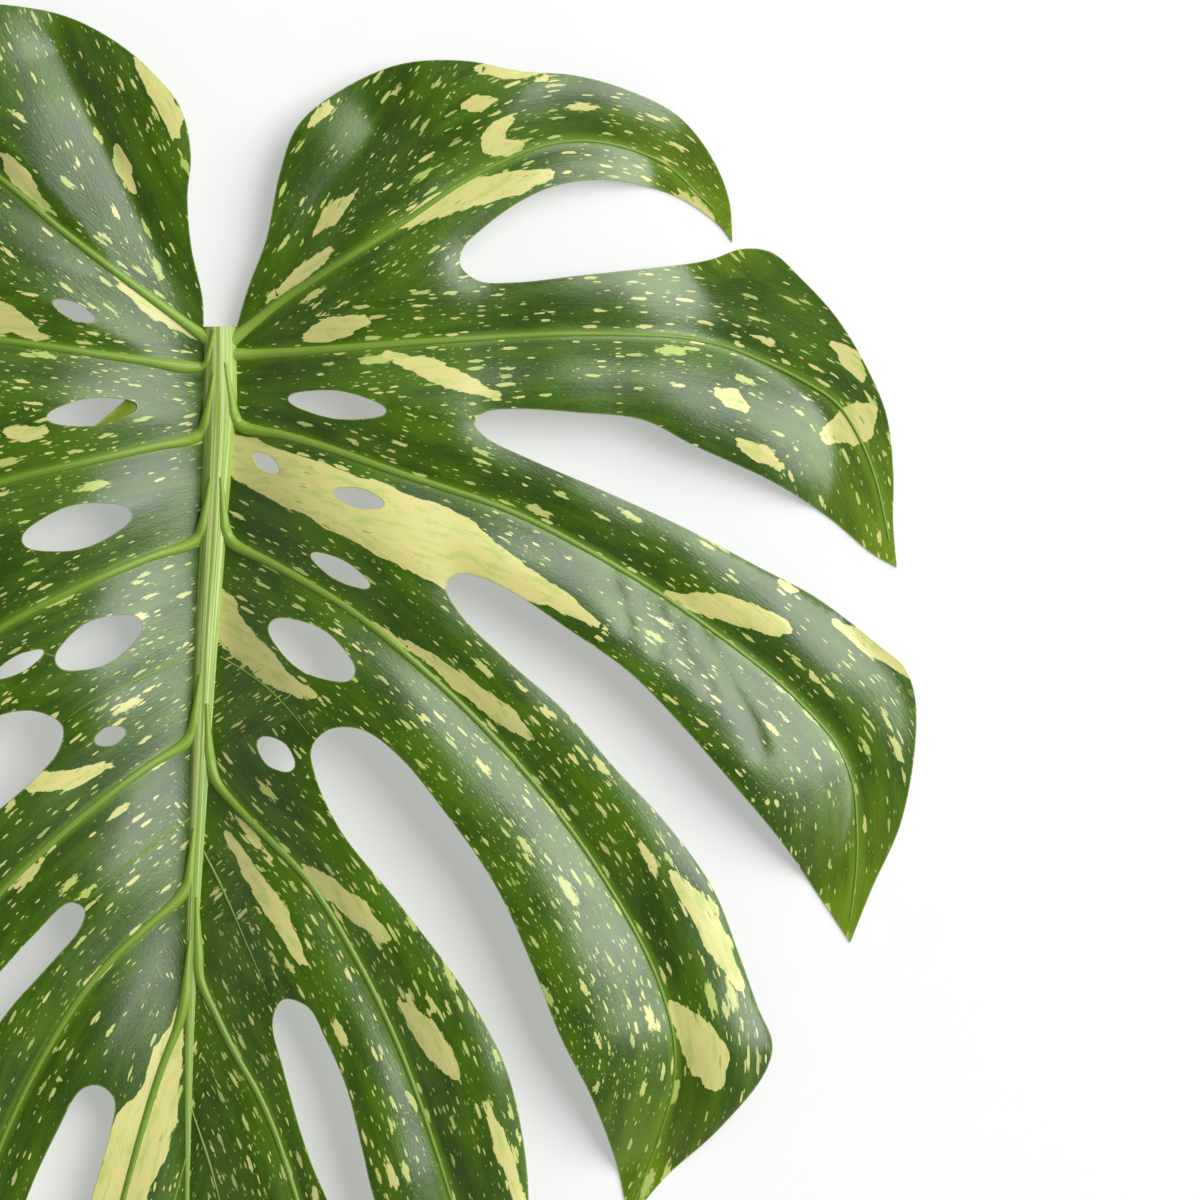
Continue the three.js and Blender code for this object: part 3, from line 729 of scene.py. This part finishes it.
def rib_material(name, colours, foot, far, fibre_sheen_share, relief):
    """Midrib and veins: a green that deepens along them, under pale fibres that also stand in for a
    painted sheen on their crowns.
    """
    s = Shader(name)
    section = s.add("ShaderNodeAttribute", {"attribute_name": "section"}, output="Vector")
    along = s.attribute("along")
    share = s.attribute("share")
    lift = s.add("ShaderNodeCombineXYZ", {}, (0.0, 0.0, along * 14.0))
    around = s.add("ShaderNodeVectorMath", {"operation": "ADD"}, (section, lift))
    fibre = s.noise(s.place(around, (5.5, 5.5, 1.0)), 1.0, 3.0, 0.6)
    blotchy = s.noise(s.place(around, (0.8, 0.8, 0.6)), 1.0, 2.0)
    skin = s.mix(s.step(share, 0.0, 0.25), foot, far)
    skin = s.mix(s.step(blotchy, 0.35, 0.7, 0.0, 0.3), skin, colours.vein)
    # Pale fibres, partly real and partly a painted sheen, strongest towards the cut end.
    pale = s.step(fibre, 0.44, 0.62, 0.0, fibre_sheen_share) * s.step(share, 1.0, 0.2, 0.3, 1.0)
    skin = s.mix(pale, skin, colours.rib_fibre_sheen)
    bump = s.bump(relief, 0.0006, fibre)
    return s.finish(Base_Color=skin, Roughness=s.step(fibre, 0.3, 0.8, 0.36, 0.48), Normal=bump)


def flap_material(colours):
    """The curled flap in a window: olive, a little streaked."""
    s = Shader("flap_skin")
    place = s.add("ShaderNodeTexCoord", output="Object")
    streaks = s.noise(s.place(place, (150, 420, 150)), 1.0, 3.0, 0.6)
    olive = s.mix(s.step(streaks, 0.3, 0.7), colours.olive, colours.young)
    bump = s.bump(0.3, 0.0003, streaks)
    return s.finish(Base_Color=olive, Roughness=s.step(streaks, 0.3, 0.7, 0.38, 0.5), Normal=bump)


def floor_material():
    """The pale, matt table."""
    s = Shader("studio_floor")
    grain = s.noise(s.add("ShaderNodeTexCoord", output="Object"), 60.0, 2.0)
    tone = s.mix(grain, [FLOOR_GREYS[0]] * 3, [FLOOR_GREYS[1]] * 3)
    return s.finish(Base_Color=tone, Roughness=0.9, Emission_Color=WHITE,
                    Emission_Strength=FLOOR_GLOW)


# ---- Putting pieces in place ---------------------------------------------------------------------

def settle(piece):
    """Links every piece to the scene, puts it in the one body and hides the CAD part of the one node
    it stands for.
    """
    bpy.context.scene.collection.objects.link(piece)
    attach(piece, BODY)
    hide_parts(NODE)


def store(mesh, name, values):
    """Gives every point of the mesh a number, for the shader to read."""
    attribute = mesh.attributes.new(name, "FLOAT", "POINT")
    attribute.data.foreach_set("value", np.ascontiguousarray(values, np.float32))


# ---- The blade -----------------------------------------------------------------------------------

CREAM_LIMIT = 9.0
TIP_LENGTH = 45
TIP_HALF_WIDTH = 15
LINE_EXTENSION = 60
FLOW_OFFSET = 57
SHARP_ANGLE = math.radians(42)
RIM_BULGE = 0.14
SEAM_STEP = 2.0
CLEAR_OF_EDGES = 0.6  # the free points' distance from every fixed one, in mesh steps
SAME_POINT = 1e-5
FLOW_ROWS = 7  # keeps the flecks at one vein from repeating those at another
UNDER_SWELLING = 0.9
UNDER_SWELLING_WIDTH = 2.6


def lattice(loops, step):
    """A lattice of equal triangles' corners, kept clear of the edges."""
    low = loops[0].min(axis=0)
    high = loops[0].max(axis=0)
    row_step = step * math.sqrt(3) / 2
    rows = np.arange(low[1], high[1], row_step)
    points = []
    for k, y in enumerate(rows):
        x = np.arange(low[0] + (k % 2) * step / 2, high[0], step)
        points.append(np.column_stack([x, np.full(len(x), y)]))
    points = np.vstack(points)
    return points[inside(points, loops)]


def triangulate(sizes):
    """Flat triangles of the blade, with the midrib's line among their sides."""
    margin_step = sizes.margin_step / MM
    loops = [closed_margin(margin_step)] + [window_line(*w, margin_step) for w in WINDOWS]
    seam = [(0, 0), *[m[:2] for m in MIDRIB[1:]], LEAF_TIP]
    rib_points = even_steps(np.array(seam, float), SEAM_STEP)[:-1]
    edges, fixed, start = [], [], 0
    for loop in loops:
        ids = np.arange(start, start + len(loop))
        edges += list(zip(ids.tolist(), np.roll(ids, -1).tolist()))
        fixed.append(loop)
        start += len(loop)
    tip = int(np.argmin(np.linalg.norm(loops[0] - LEAF_TIP, axis=1)))
    ids = list(range(start, start + len(rib_points))) + [tip]
    edges += list(zip(ids[:-1], ids[1:]))
    fixed.append(rib_points)
    free = lattice(loops, sizes.mesh_step / MM)
    clear = nearest_distance(free, np.vstack(fixed)) > CLEAR_OF_EDGES * sizes.mesh_step / MM
    points = np.vstack(fixed + [free[clear]])
    result = delaunay_2d_cdt([Vector(p) for p in points], edges, [], 0, SAME_POINT, False)
    points = np.array([tuple(v) for v in result[0]])
    faces = np.array(result[2])
    middles = points[faces].mean(axis=1)
    faces = faces[inside(middles, loops)]
    a, b, c = (points[faces[:, k]] for k in range(3))
    turn = (b - a)[:, 0] * (c - a)[:, 1] - (b - a)[:, 1] * (c - a)[:, 0]
    faces[turn < 0] = faces[turn < 0][:, ::-1]
    return points, faces


def cream_field(points):
    """Distance inside the nearest cream field or stroke, negative outside."""
    best = np.full(len(points), -CREAM_LIMIT)
    for field in CREAM_FIELDS:
        outline = np.array(field + field[:1], float)
        depth = on_line(points, outline)[0]
        best = np.maximum(best, np.where(inside(points, [outline[:-1]]), depth, -depth))
    for stroke in CREAM_STROKES:
        for (ax, ay, aw), (bx, by, bw) in zip(stroke[:-1], stroke[1:]):
            a, ab = np.array((ax, ay)), np.array((bx - ax, by - ay))
            rel = points - a
            share = np.clip(rel @ ab / (ab @ ab), 0, 1)
            off = np.linalg.norm(rel - share[:, None] * ab, axis=1)
            best = np.maximum(best, aw + (bw - aw) * share - off)
    return best


def tip_field(points):
    """How far out a point lies towards the tip of its lobe: 0 over most of it, 1 at the tip."""
    best = np.zeros(len(points))
    for line in MAIN_LINES:
        away, along, _ = on_line(points, line)
        whole = np.linalg.norm(np.diff(line, axis=0), axis=1).sum()
        near = np.clip(1 - (whole - along) / TIP_LENGTH, 0, 1)
        best = np.maximum(best, near * bell(away, TIP_HALF_WIDTH))
    return best


def extended(line):
    """The line with straight ends that run on past both its points."""
    first = line[0] - (line[1] - line[0]) / np.linalg.norm(line[1] - line[0]) * LINE_EXTENSION
    last = line[-1] + (line[-1] - line[-2]) / np.linalg.norm(line[-1] - line[-2]) * LINE_EXTENSION
    return np.vstack([first, line, last])


def flow_map(points, faces):
    """For each face corner: length along, and distance across, the vein nearest to the face."""
    lines = MAIN_LINES + CREASE_LINES
    middles = points[faces].mean(axis=1)
    owner = np.argmin([on_line(middles, line)[0] for line in lines], axis=0)
    flow = np.zeros((len(faces), 3, 2))
    for k, line in enumerate(lines):
        mine = owner == k
        corners = points[faces[mine]].reshape(-1, 2)
        distance, along, side = on_line(corners, extended(line))
        across = distance * side + FLOW_OFFSET * (k % FLOW_ROWS)
        flow[mine] = np.column_stack([along + FLOW_OFFSET * k, across]).reshape(-1, 3, 2)
    return flow


def boundary_edges(faces):
    """Sides that only one face has, in that face's direction."""
    sides = np.vstack([faces[:, [0, 1]], faces[:, [1, 2]], faces[:, [2, 0]]])
    both = {(a, b) for a, b in sides.tolist()}
    return np.array([(a, b) for a, b in sides.tolist() if (b, a) not in both])


def edge_outward(points, rim):
    """The outward direction at each point of the rim."""
    out = np.zeros_like(points)
    d = points[rim[:, 1]] - points[rim[:, 0]]
    normal = np.column_stack([d[:, 1], -d[:, 0]]) / np.linalg.norm(d, axis=1)[:, None]
    np.add.at(out, rim[:, 0], normal)
    np.add.at(out, rim[:, 1], normal)
    return out / np.maximum(np.linalg.norm(out, axis=1), SMALLEST)[:, None]


def blade_piece(name, points, faces, fields, flow, material, sizes):
    """A closed sheet: upper side, underside and a slightly rounded rim between them."""
    used, faces = np.unique(faces, return_inverse=True)
    faces = faces.reshape(-1, 3)
    points = points[used]
    fields = {key: value[used] for key, value in fields.items()}
    n = len(points)
    rim = boundary_edges(faces)
    rim_ids = np.unique(rim)
    rim_of = np.zeros(n, int)
    rim_of[rim_ids] = np.arange(len(rim_ids)) + 2 * n
    swelling = UNDER_SWELLING * bell(fields["vein"], UNDER_SWELLING_WIDTH)
    thickness = np.minimum(sizes.thickness / MM + swelling, fields["height"])
    top = np.column_stack([points, fields["height"]])
    bottom = np.column_stack([points, fields["height"] - thickness])
    out = edge_outward(points, rim)
    middle = (top[rim_ids] + bottom[rim_ids]) / 2
    middle[:, :2] += RIM_BULGE * out[rim_ids]
    vertices = in_frame(np.vstack([top, bottom, middle]))
    a, b = rim[:, 0], rim[:, 1]
    near, far = rim_of[a], rim_of[b]
    walls = np.vstack([np.column_stack(corners) for corners in
                       ((b, a, near), (b, near, far), (far, near, a + n), (far, a + n, b + n))])
    triangles = np.vstack([faces, faces[:, ::-1] + n, walls])
    mesh = bpy.data.meshes.new(name)
    mesh.from_pydata(vertices.tolist(), [], triangles.tolist())
    for key in BLADE_FIELDS:
        values = fields[key]
        store(mesh, key, np.concatenate([values, values, values[rim_ids]]))
    store(mesh, "upper", np.concatenate([np.ones(n), np.zeros(n), np.full(len(rim_ids), 0.5)]))
    per_vertex = np.zeros((n, 2))
    per_vertex[faces.ravel()] = flow.reshape(-1, 2)
    everywhere = np.concatenate([per_vertex, per_vertex, per_vertex[rim_ids]])
    uv = np.vstack([part.reshape(-1, 2) for part in (flow, flow[:, ::-1], everywhere[walls])])
    layer = mesh.uv_layers.new(name="flow")
    layer.data.foreach_set("uv", uv.astype(np.float32).ravel())
    mesh.shade_smooth()
    mesh.set_sharp_from_angle(angle=SHARP_ANGLE)
    mesh.materials.append(material)
    settle(bpy.data.objects.new(name, mesh))


class MONSTERA_OT_blade(bpy.types.Operator):
    """Make the two halves of the blade, which meet under the midrib"""
    bl_idname = "monstera.blade"
    bl_label = "Blade"

    def execute(self, context):
        sizes = context.scene.monstera_sizes
        material = blade_material(context.scene.monstera_colours)
        points, faces = triangulate(sizes)
        fine_margin = [closed_margin(FINE_MARGIN_STEP)]
        fine_margin += [window_line(*w, FINE_MARGIN_STEP) for w in WINDOWS]
        fields = {
            "height": blade_height(points, sizes),
            "cream": cream_field(points),
            "margin": nearest_distance(points, np.vstack(fine_margin)),
            "tip": tip_field(points),
            "vein": nearest_line(points, MAIN_LINES),
        }
        flow = flow_map(points, faces)
        middles = points[faces].mean(axis=1)
        right = middles[:, 0] > rib_at(middles[:, 1])[0]
        for name, mine in (("blade_right", right), ("blade_left", ~right)):
            blade_piece(name, points, faces[mine], fields, flow[mine], material, sizes)
        return {"FINISHED"}


# ---- Midrib and veins: one Geometry Nodes tree ---------------------------------------------------

RIB_STEP = 2.5
RIB_SECTION_POINTS = 48
VEIN_SECTION_POINTS = 14
VEIN_CROWN = 0.62
VEIN_KEEL = 1.0
AHEAD = 3  # points that tell which way a vein runs
FOOT_RUN = 17
FOOT_STOPS = ((1.0, 0.16), (0.66, 0.24), (0.36, 0.32), (0.12, 0.41))  # see foot()
FOOT_CLEAR = 0.62  # from here on, by the midrib's width, a vein keeps its own path
FOOT_THINNING = 4  # only every fourth point of that path guides the curve
CUT_CLEARANCE = 1
SHORT_FOOT = (1, -2)  # from the midrib's middle, where there is no room for a run
VEIN_SEAT = 0.35  # a vein lies this deep in the blade, by its half width
VEIN_TAPER_POWER = 0.7
VEIN_SUNK_START = 0.8  # a vein's foot rises out of the midrib, by shares of its half width
VEIN_SUNK = 0.4
VEIN_START = 0.35  # a vein's start on the midrib, as a share of its width
VEIN_FOOT = 1.35  # a vein is this much wider where it leaves the midrib
VEIN_FOOT_LENGTH = 7
VEIN_TIP_SHARE = 0.18


def rib_tree():
    """Sweeps a flattened round section along a curve, as wide as the curve's radius."""
    tree = bpy.data.node_groups.new("rib_along_curve", "GeometryNodeTree")
    for name, kind in (("Curve", "Geometry"), ("Section Points", "Int"), ("Crown", "Float"),
                       ("Keel", "Float"), ("Material", "Material")):
        tree.interface.new_socket(name, in_out="INPUT", socket_type="NodeSocket" + kind)
    tree.interface.new_socket("Mesh", in_out="OUTPUT", socket_type="NodeSocketGeometry")
    add = Nodes(tree).add

    def keep(geometry, name, value, kind="FLOAT"):
        """Stores a value on the points of a curve, so that the mesh carries it."""
        settings = {"data_type": kind, "domain": "POINT"}
        inputs = {"Geometry": geometry, "Name": name, "Value": value}
        return add("GeometryNodeStoreNamedAttribute", settings, inputs)

    inlet = add("NodeGroupInput").output
    spline = add("GeometryNodeSplineParameter").output
    curve = keep(inlet("Curve"), "along", spline("Length"))
    curve = keep(curve, "share", spline("Factor"))
    curve = add("GeometryNodeSetCurveNormal", {"mode": "Z_UP"}, {"Curve": curve})
    ring = add("GeometryNodeCurvePrimitiveCircle", {}, {"Resolution": inlet("Section Points"),
                                                        "Radius": 1.0})
    position = add("GeometryNodeInputPosition")
    ring = keep(ring, "section", position, "FLOAT_VECTOR")
    across = add("ShaderNodeSeparateXYZ", {}, (position,), "X")
    up = across.output("Y")
    flatter = add("ShaderNodeMix", {"data_type": "FLOAT"}, {0: up > 0.0, 2: inlet("Keel"),
                                                            3: inlet("Crown")})
    flat = add("ShaderNodeCombineXYZ", {}, (across, up * flatter))
    ring = add("GeometryNodeSetPosition", {}, {"Geometry": ring, "Position": flat})
    swept = add("GeometryNodeCurveToMesh", {}, {"Curve": curve, "Profile Curve": ring,
                                               "Scale": add("GeometryNodeInputRadius"),
                                               "Fill Caps": True})
    smooth = add("GeometryNodeSetShadeSmooth", {}, (swept,))
    real = add("GeometryNodeRealizeInstances", {}, (smooth,))
    done = add("GeometryNodeSetMaterial", {}, {"Geometry": real, "Material": inlet("Material")})
    add("NodeGroupOutput", {}, (done,))
    return tree


def swept_piece(name, lines, section_points, crown, keel, material):
    """A piece of ribs: each line has x, y, z and radius in metres."""
    curve = bpy.data.curves.new(name, "CURVE")
    curve.dimensions = "3D"
    for line in lines:
        spline = curve.splines.new("POLY")
        spline.points.add(len(line) - 1)
        spline.points.foreach_set("co", np.column_stack([line[:, :3], np.ones(len(line))]).ravel())
        spline.points.foreach_set("radius", np.ascontiguousarray(line[:, 3]))
    rough = bpy.data.objects.new(name + "_path", curve)
    bpy.context.scene.collection.objects.link(rough)
    modifier = rough.modifiers.new("ribs", "NODES")
    modifier.node_group = rib_tree()
    values = {"Section Points": section_points, "Crown": crown, "Keel": keel, "Material": material}
    for item in modifier.node_group.interface.items_tree:
        if item.name in values:
            modifier[item.identifier] = values[item.name]
    graph = bpy.context.evaluated_depsgraph_get()
    mesh = bpy.data.meshes.new_from_object(rough.evaluated_get(graph), depsgraph=graph)
    mesh.name = name
    rough.modifiers.remove(modifier)
    bpy.data.objects.remove(rough)
    bpy.data.curves.remove(curve)
    mesh.materials.clear()
    mesh.materials.append(material)
    settle(bpy.data.objects.new(name, mesh))


class MONSTERA_OT_midrib(bpy.types.Operator):
    """Make the tapering midrib with its cut end"""
    bl_idname = "monstera.midrib"
    bl_label = "Midrib"

    def execute(self, context):
        colours = context.scene.monstera_colours
        path = smooth_curve([m[:2] for m in MIDRIB], RIB_STEP)
        _, width, height = rib_at(path[:, 1])
        z = rib_underside(path[:, 1]) + height / 2
        line = np.column_stack([in_frame(np.column_stack([path, z])), width / 2 * MM])
        skin = rib_material("midrib_skin", colours, colours.rib, colours.rib_far,
                            fibre_sheen_share=0.7, relief=0.35)
        flattest = (height / width).min()
        swept_piece("midrib", [line], RIB_SECTION_POINTS, flattest, flattest, skin)
        return {"FINISHED"}


class MONSTERA_OT_veins(bpy.types.Operator):
    """Make the lateral veins and the thin veins between them"""
    bl_idname = "monstera.veins"
    bl_label = "Lateral Veins"

    def foot(self, path):
        """The path of a vein that first runs down along the midrib and slowly leaves it.

        Each stop has the share of the run still ahead and its place across the midrib."""
        y = path[0, 1]
        side = np.sign(path[AHEAD, 0] - rib_at(y)[0])
        room = min(FOOT_RUN, max(-y - CUT_CLEARANCE, 0))
        points = []
        for share, out in FOOT_STOPS:
            x, width, _ = rib_at(y + share * room)
            points.append((x + side * out * width, y + share * room))
        rib_x, rib_width, _ = rib_at(path[:, 1])
        clear = path[np.abs(path[:, 0] - rib_x) > FOOT_CLEAR * rib_width]
        beyond = clear[:-2:FOOT_THINNING].tolist() + [path[-1].tolist()]
        if room < FOOT_RUN / 2:
            points = [(rib_at(y)[0] + side * SHORT_FOOT[0], y + SHORT_FOOT[1]), tuple(path[0])]
        return smooth_curve(points + beyond, VEIN_STEP / 2)

    def lines(self, paths, radius, sizes, feet):
        """The veins' middle lines with their half widths, in metres."""
        for path in paths:
            path = self.foot(path) if feet else path
            span = np.linspace(0, np.linalg.norm(np.diff(path, axis=0), axis=1).sum(), len(path))
            share = span / span[-1]
            # Only a vein that first runs down along the midrib starts thin.
            run = FOOT_RUN if path[0, 1] > path[2 * AHEAD, 1] else 0
            risen = np.minimum(span / max(run, SMALLEST), 1)
            swell = 1 + (VEIN_FOOT - 1) * bell(span - run, VEIN_FOOT_LENGTH)
            start = VEIN_START + (1 - VEIN_START) * risen
            taper = 1 - (1 - VEIN_TIP_SHARE) * share ** VEIN_TAPER_POWER
            girth = radius * swell * start * taper
            z = blade_height(path, sizes) - VEIN_SEAT * girth / MM
            x, width, height = rib_at(path[:, 1])
            across = np.minimum(np.abs(path[:, 0] - x) / (width / 2), 1)
            crown = rib_underside(path[:, 1]) + height / 2 * (1 + np.sqrt(1 - across ** 2))
            on_rib = (across < 1) & (run > 0) & feet
            sunk = VEIN_SUNK_START + (VEIN_SUNK - VEIN_SUNK_START) * risen
            z = np.where(on_rib, np.maximum(z, crown - sunk * girth / MM), z)
            z = np.maximum(z, girth / MM)
            yield np.column_stack([in_frame(np.column_stack([path, z])), girth])

    def execute(self, context):
        sizes = context.scene.monstera_sizes
        colours = context.scene.monstera_colours
        skin = rib_material("vein_skin", colours, colours.vein_foot, colours.vein,
                            fibre_sheen_share=0.12, relief=0.15)
        main = list(self.lines(MAIN_LINES, sizes.vein_radius, sizes, True))
        minor = list(self.lines(MINOR_LINES, sizes.minor_radius, sizes, False))
        swept_piece("lateral_veins", main + minor, VEIN_SECTION_POINTS, VEIN_CROWN, VEIN_KEEL,
                    skin)
        return {"FINISHED"}


# ---- The flap ------------------------------------------------------------------------------------

FLAP_WINDOW = 7
FLAP_ARC = (-94, 38)
FLAP_COLUMNS = 28
FLAP_ROWS = 8
FLAP_DIP = 2.4
FLAP_TUCK = 0.5
FLAP_THICKNESS = 0.4
WELD = 0.00001


def grid_sheet(name, top, bottom, shape, material):
    """A closed sheet from two grids of points, one over the other."""
    bm = bmesh.new()
    sides = []
    for points in (top, bottom):
        corners = [bm.verts.new(point) for point in in_frame(points)]
        sides.append(np.array(corners, object).reshape(shape))
    for row in range(shape[0] - 1):
        for column in range(shape[1] - 1):
            for grid in sides:
                bm.faces.new((grid[row, column], grid[row + 1, column],
                              grid[row + 1, column + 1], grid[row, column + 1]))
    rings = [np.concatenate([g[0, :-1], g[:-1, -1], g[-1, :0:-1], g[:0:-1, 0]]) for g in sides]
    for k in range(len(rings[0])):
        bm.faces.new((rings[0][k - 1], rings[0][k], rings[1][k], rings[1][k - 1]))
    bmesh.ops.remove_doubles(bm, verts=bm.verts, dist=WELD)
    bmesh.ops.recalc_face_normals(bm, faces=bm.faces)
    mesh = bpy.data.meshes.new(name)
    bm.to_mesh(mesh)
    bm.free()
    mesh.shade_smooth()
    mesh.set_sharp_from_angle(angle=SHARP_ANGLE)
    mesh.materials.append(material)
    return bpy.data.objects.new(name, mesh)


class MONSTERA_OT_flap(bpy.types.Operator):
    """Make the flap of blade that still hangs in one window"""
    bl_idname = "monstera.flap"
    bl_label = "Window Flap"

    def execute(self, context):
        sizes = context.scene.monstera_sizes
        x, y, long_side, short_side, tilt = WINDOWS[FLAP_WINDOW]
        angle = np.radians(np.linspace(*FLAP_ARC, FLAP_COLUMNS))
        rim = np.column_stack([(long_side / 2 + FLAP_TUCK) * np.cos(angle),
                               (short_side / 2 + FLAP_TUCK) * np.sin(angle)])
        chord = rim[:1] + (rim[-1:] - rim[:1]) * np.linspace(0, 1, FLAP_COLUMNS)[:, None]
        rows = [rim + (chord - rim) * share for share in np.linspace(0, 1, FLAP_ROWS)]
        flat = np.vstack(rows)
        turn = math.radians(tilt)
        plan = np.column_stack([x + flat[:, 0] * math.cos(turn) - flat[:, 1] * math.sin(turn),
                                y + flat[:, 0] * math.sin(turn) + flat[:, 1] * math.cos(turn)])
        inward = np.sin(np.linspace(0, math.pi / 2, FLAP_ROWS)) ** 2
        between_ends = np.sin(np.linspace(0, math.pi, FLAP_COLUMNS))
        dip = FLAP_DIP * np.outer(inward, between_ends).ravel()
        z = blade_height(plan, sizes) - FLAP_THICKNESS - dip
        top = np.column_stack([plan, z])
        bottom = top - (0, 0, FLAP_THICKNESS)
        material = flap_material(context.scene.monstera_colours)
        settle(grid_sheet("window_flap", top, bottom, (FLAP_ROWS, FLAP_COLUMNS), material))
        return {"FINISHED"}


# ---- Stage ---------------------------------------------------------------------------------------

FLOOR_SIZE = 6.0
VIEW_CENTRE = (106.0, -76.2)  # the point under the camera, in the drawing
VIEW_WIDTH = 0.336
LENS = 180.0
SENSOR = 36.0
KEY_FROM = Vector((2.04, 1.00, 1.96))
KEY_SIZE = 2.8
KEY_ENERGY = 148.0
SKY_OVERHEAD = 0.0
SKY_AROUND = 0.80


def look_at(piece, target):
    """Turns a light to face a point."""
    piece.rotation_euler = (target - piece.location).to_track_quat("-Z", "Y").to_euler()


def studio_world():
    """Pale walls all round, under a dim ceiling."""
    world = bpy.data.worlds.new("studio")
    world.use_nodes = True
    nodes = Nodes(world.node_tree)
    direction = nodes.add("ShaderNodeTexCoord", output="Generated")
    up = nodes.add("ShaderNodeSeparateXYZ", {}, (direction,), "Z")
    strength = nodes.add("ShaderNodeMapRange", {}, {"Value": up, "To Min": SKY_AROUND,
                                                    "To Max": SKY_OVERHEAD})
    background = nodes.tree.nodes["Background"]
    nodes.feed(background.inputs["Color"], WHITE)
    nodes.feed(background.inputs["Strength"], strength)
    return world


class MONSTERA_OT_stage(bpy.types.Operator):
    """Add the pale floor, the soft lights and the camera over the leaf"""
    bl_idname = "monstera.stage"
    bl_label = "Stage"

    def execute(self, context):
        scene = context.scene
        link = scene.collection.objects.link
        half = FLOOR_SIZE / 2
        floor_mesh = bpy.data.meshes.new("floor")
        corners = [(-half, -half), (half, -half), (half, half), (-half, half)]
        floor_mesh.from_pydata([(x, y, CAD_BOX[0].z) for x, y in corners], [], [(0, 1, 2, 3)])
        floor_mesh.materials.append(floor_material())
        floor = bpy.data.objects.new("floor", floor_mesh)
        link(floor)

        target = Vector(in_frame((*VIEW_CENTRE, 0)))
        key = bpy.data.lights.new("key_softbox", "AREA")
        key.shape = "SQUARE"
        key.size = KEY_SIZE
        key.energy = KEY_ENERGY
        key_object = bpy.data.objects.new("key_softbox", key)
        key_object.location = target + KEY_FROM
        look_at(key_object, target)
        link(key_object)

        scene.world = studio_world()

        camera = bpy.data.cameras.new("overhead")
        camera.lens = LENS
        camera.sensor_width = SENSOR
        camera_object = bpy.data.objects.new("overhead", camera)
        camera_object.location = target + Vector((0, 0, VIEW_WIDTH * LENS / SENSOR))
        link(camera_object)
        scene.camera = camera_object
        scene.view_settings.view_transform = "Standard"
        return {"FINISHED"}


# ---- Panel and registration ----------------------------------------------------------------------

class MONSTERA_PT_leaf(bpy.types.Panel):
    """Lists the leaf's settings and the steps that build it"""
    bl_idname = "MONSTERA_PT_leaf"
    bl_label = "Monstera Leaf"
    bl_space_type = "VIEW_3D"
    bl_region_type = "UI"
    bl_category = "Monstera"

    def draw(self, context):
        for group in (context.scene.monstera_sizes, context.scene.monstera_colours):
            column = self.layout.column()
            for name in group.__annotations__:
                column.prop(group, name)
        for operator in OPERATORS:
            self.layout.operator(operator.bl_idname)


OPERATORS = (MONSTERA_OT_blade, MONSTERA_OT_midrib, MONSTERA_OT_veins, MONSTERA_OT_flap,
             MONSTERA_OT_stage)
CLASSES = (LeafSizes, LeafColours, *OPERATORS, MONSTERA_PT_leaf)


def register():
    for cls in CLASSES:
        bpy.utils.register_class(cls)
    bpy.types.Scene.monstera_sizes = bpy.props.PointerProperty(type=LeafSizes)
    bpy.types.Scene.monstera_colours = bpy.props.PointerProperty(type=LeafColours)


def unregister():
    del bpy.types.Scene.monstera_colours
    del bpy.types.Scene.monstera_sizes
    for cls in reversed(CLASSES):
        bpy.utils.unregister_class(cls)


def main():
    register()
    bpy.ops.monstera.stage()
    bpy.ops.monstera.blade()
    bpy.ops.monstera.midrib()
    bpy.ops.monstera.veins()
    bpy.ops.monstera.flap()
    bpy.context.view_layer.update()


if __name__ == "__main__":
    main()
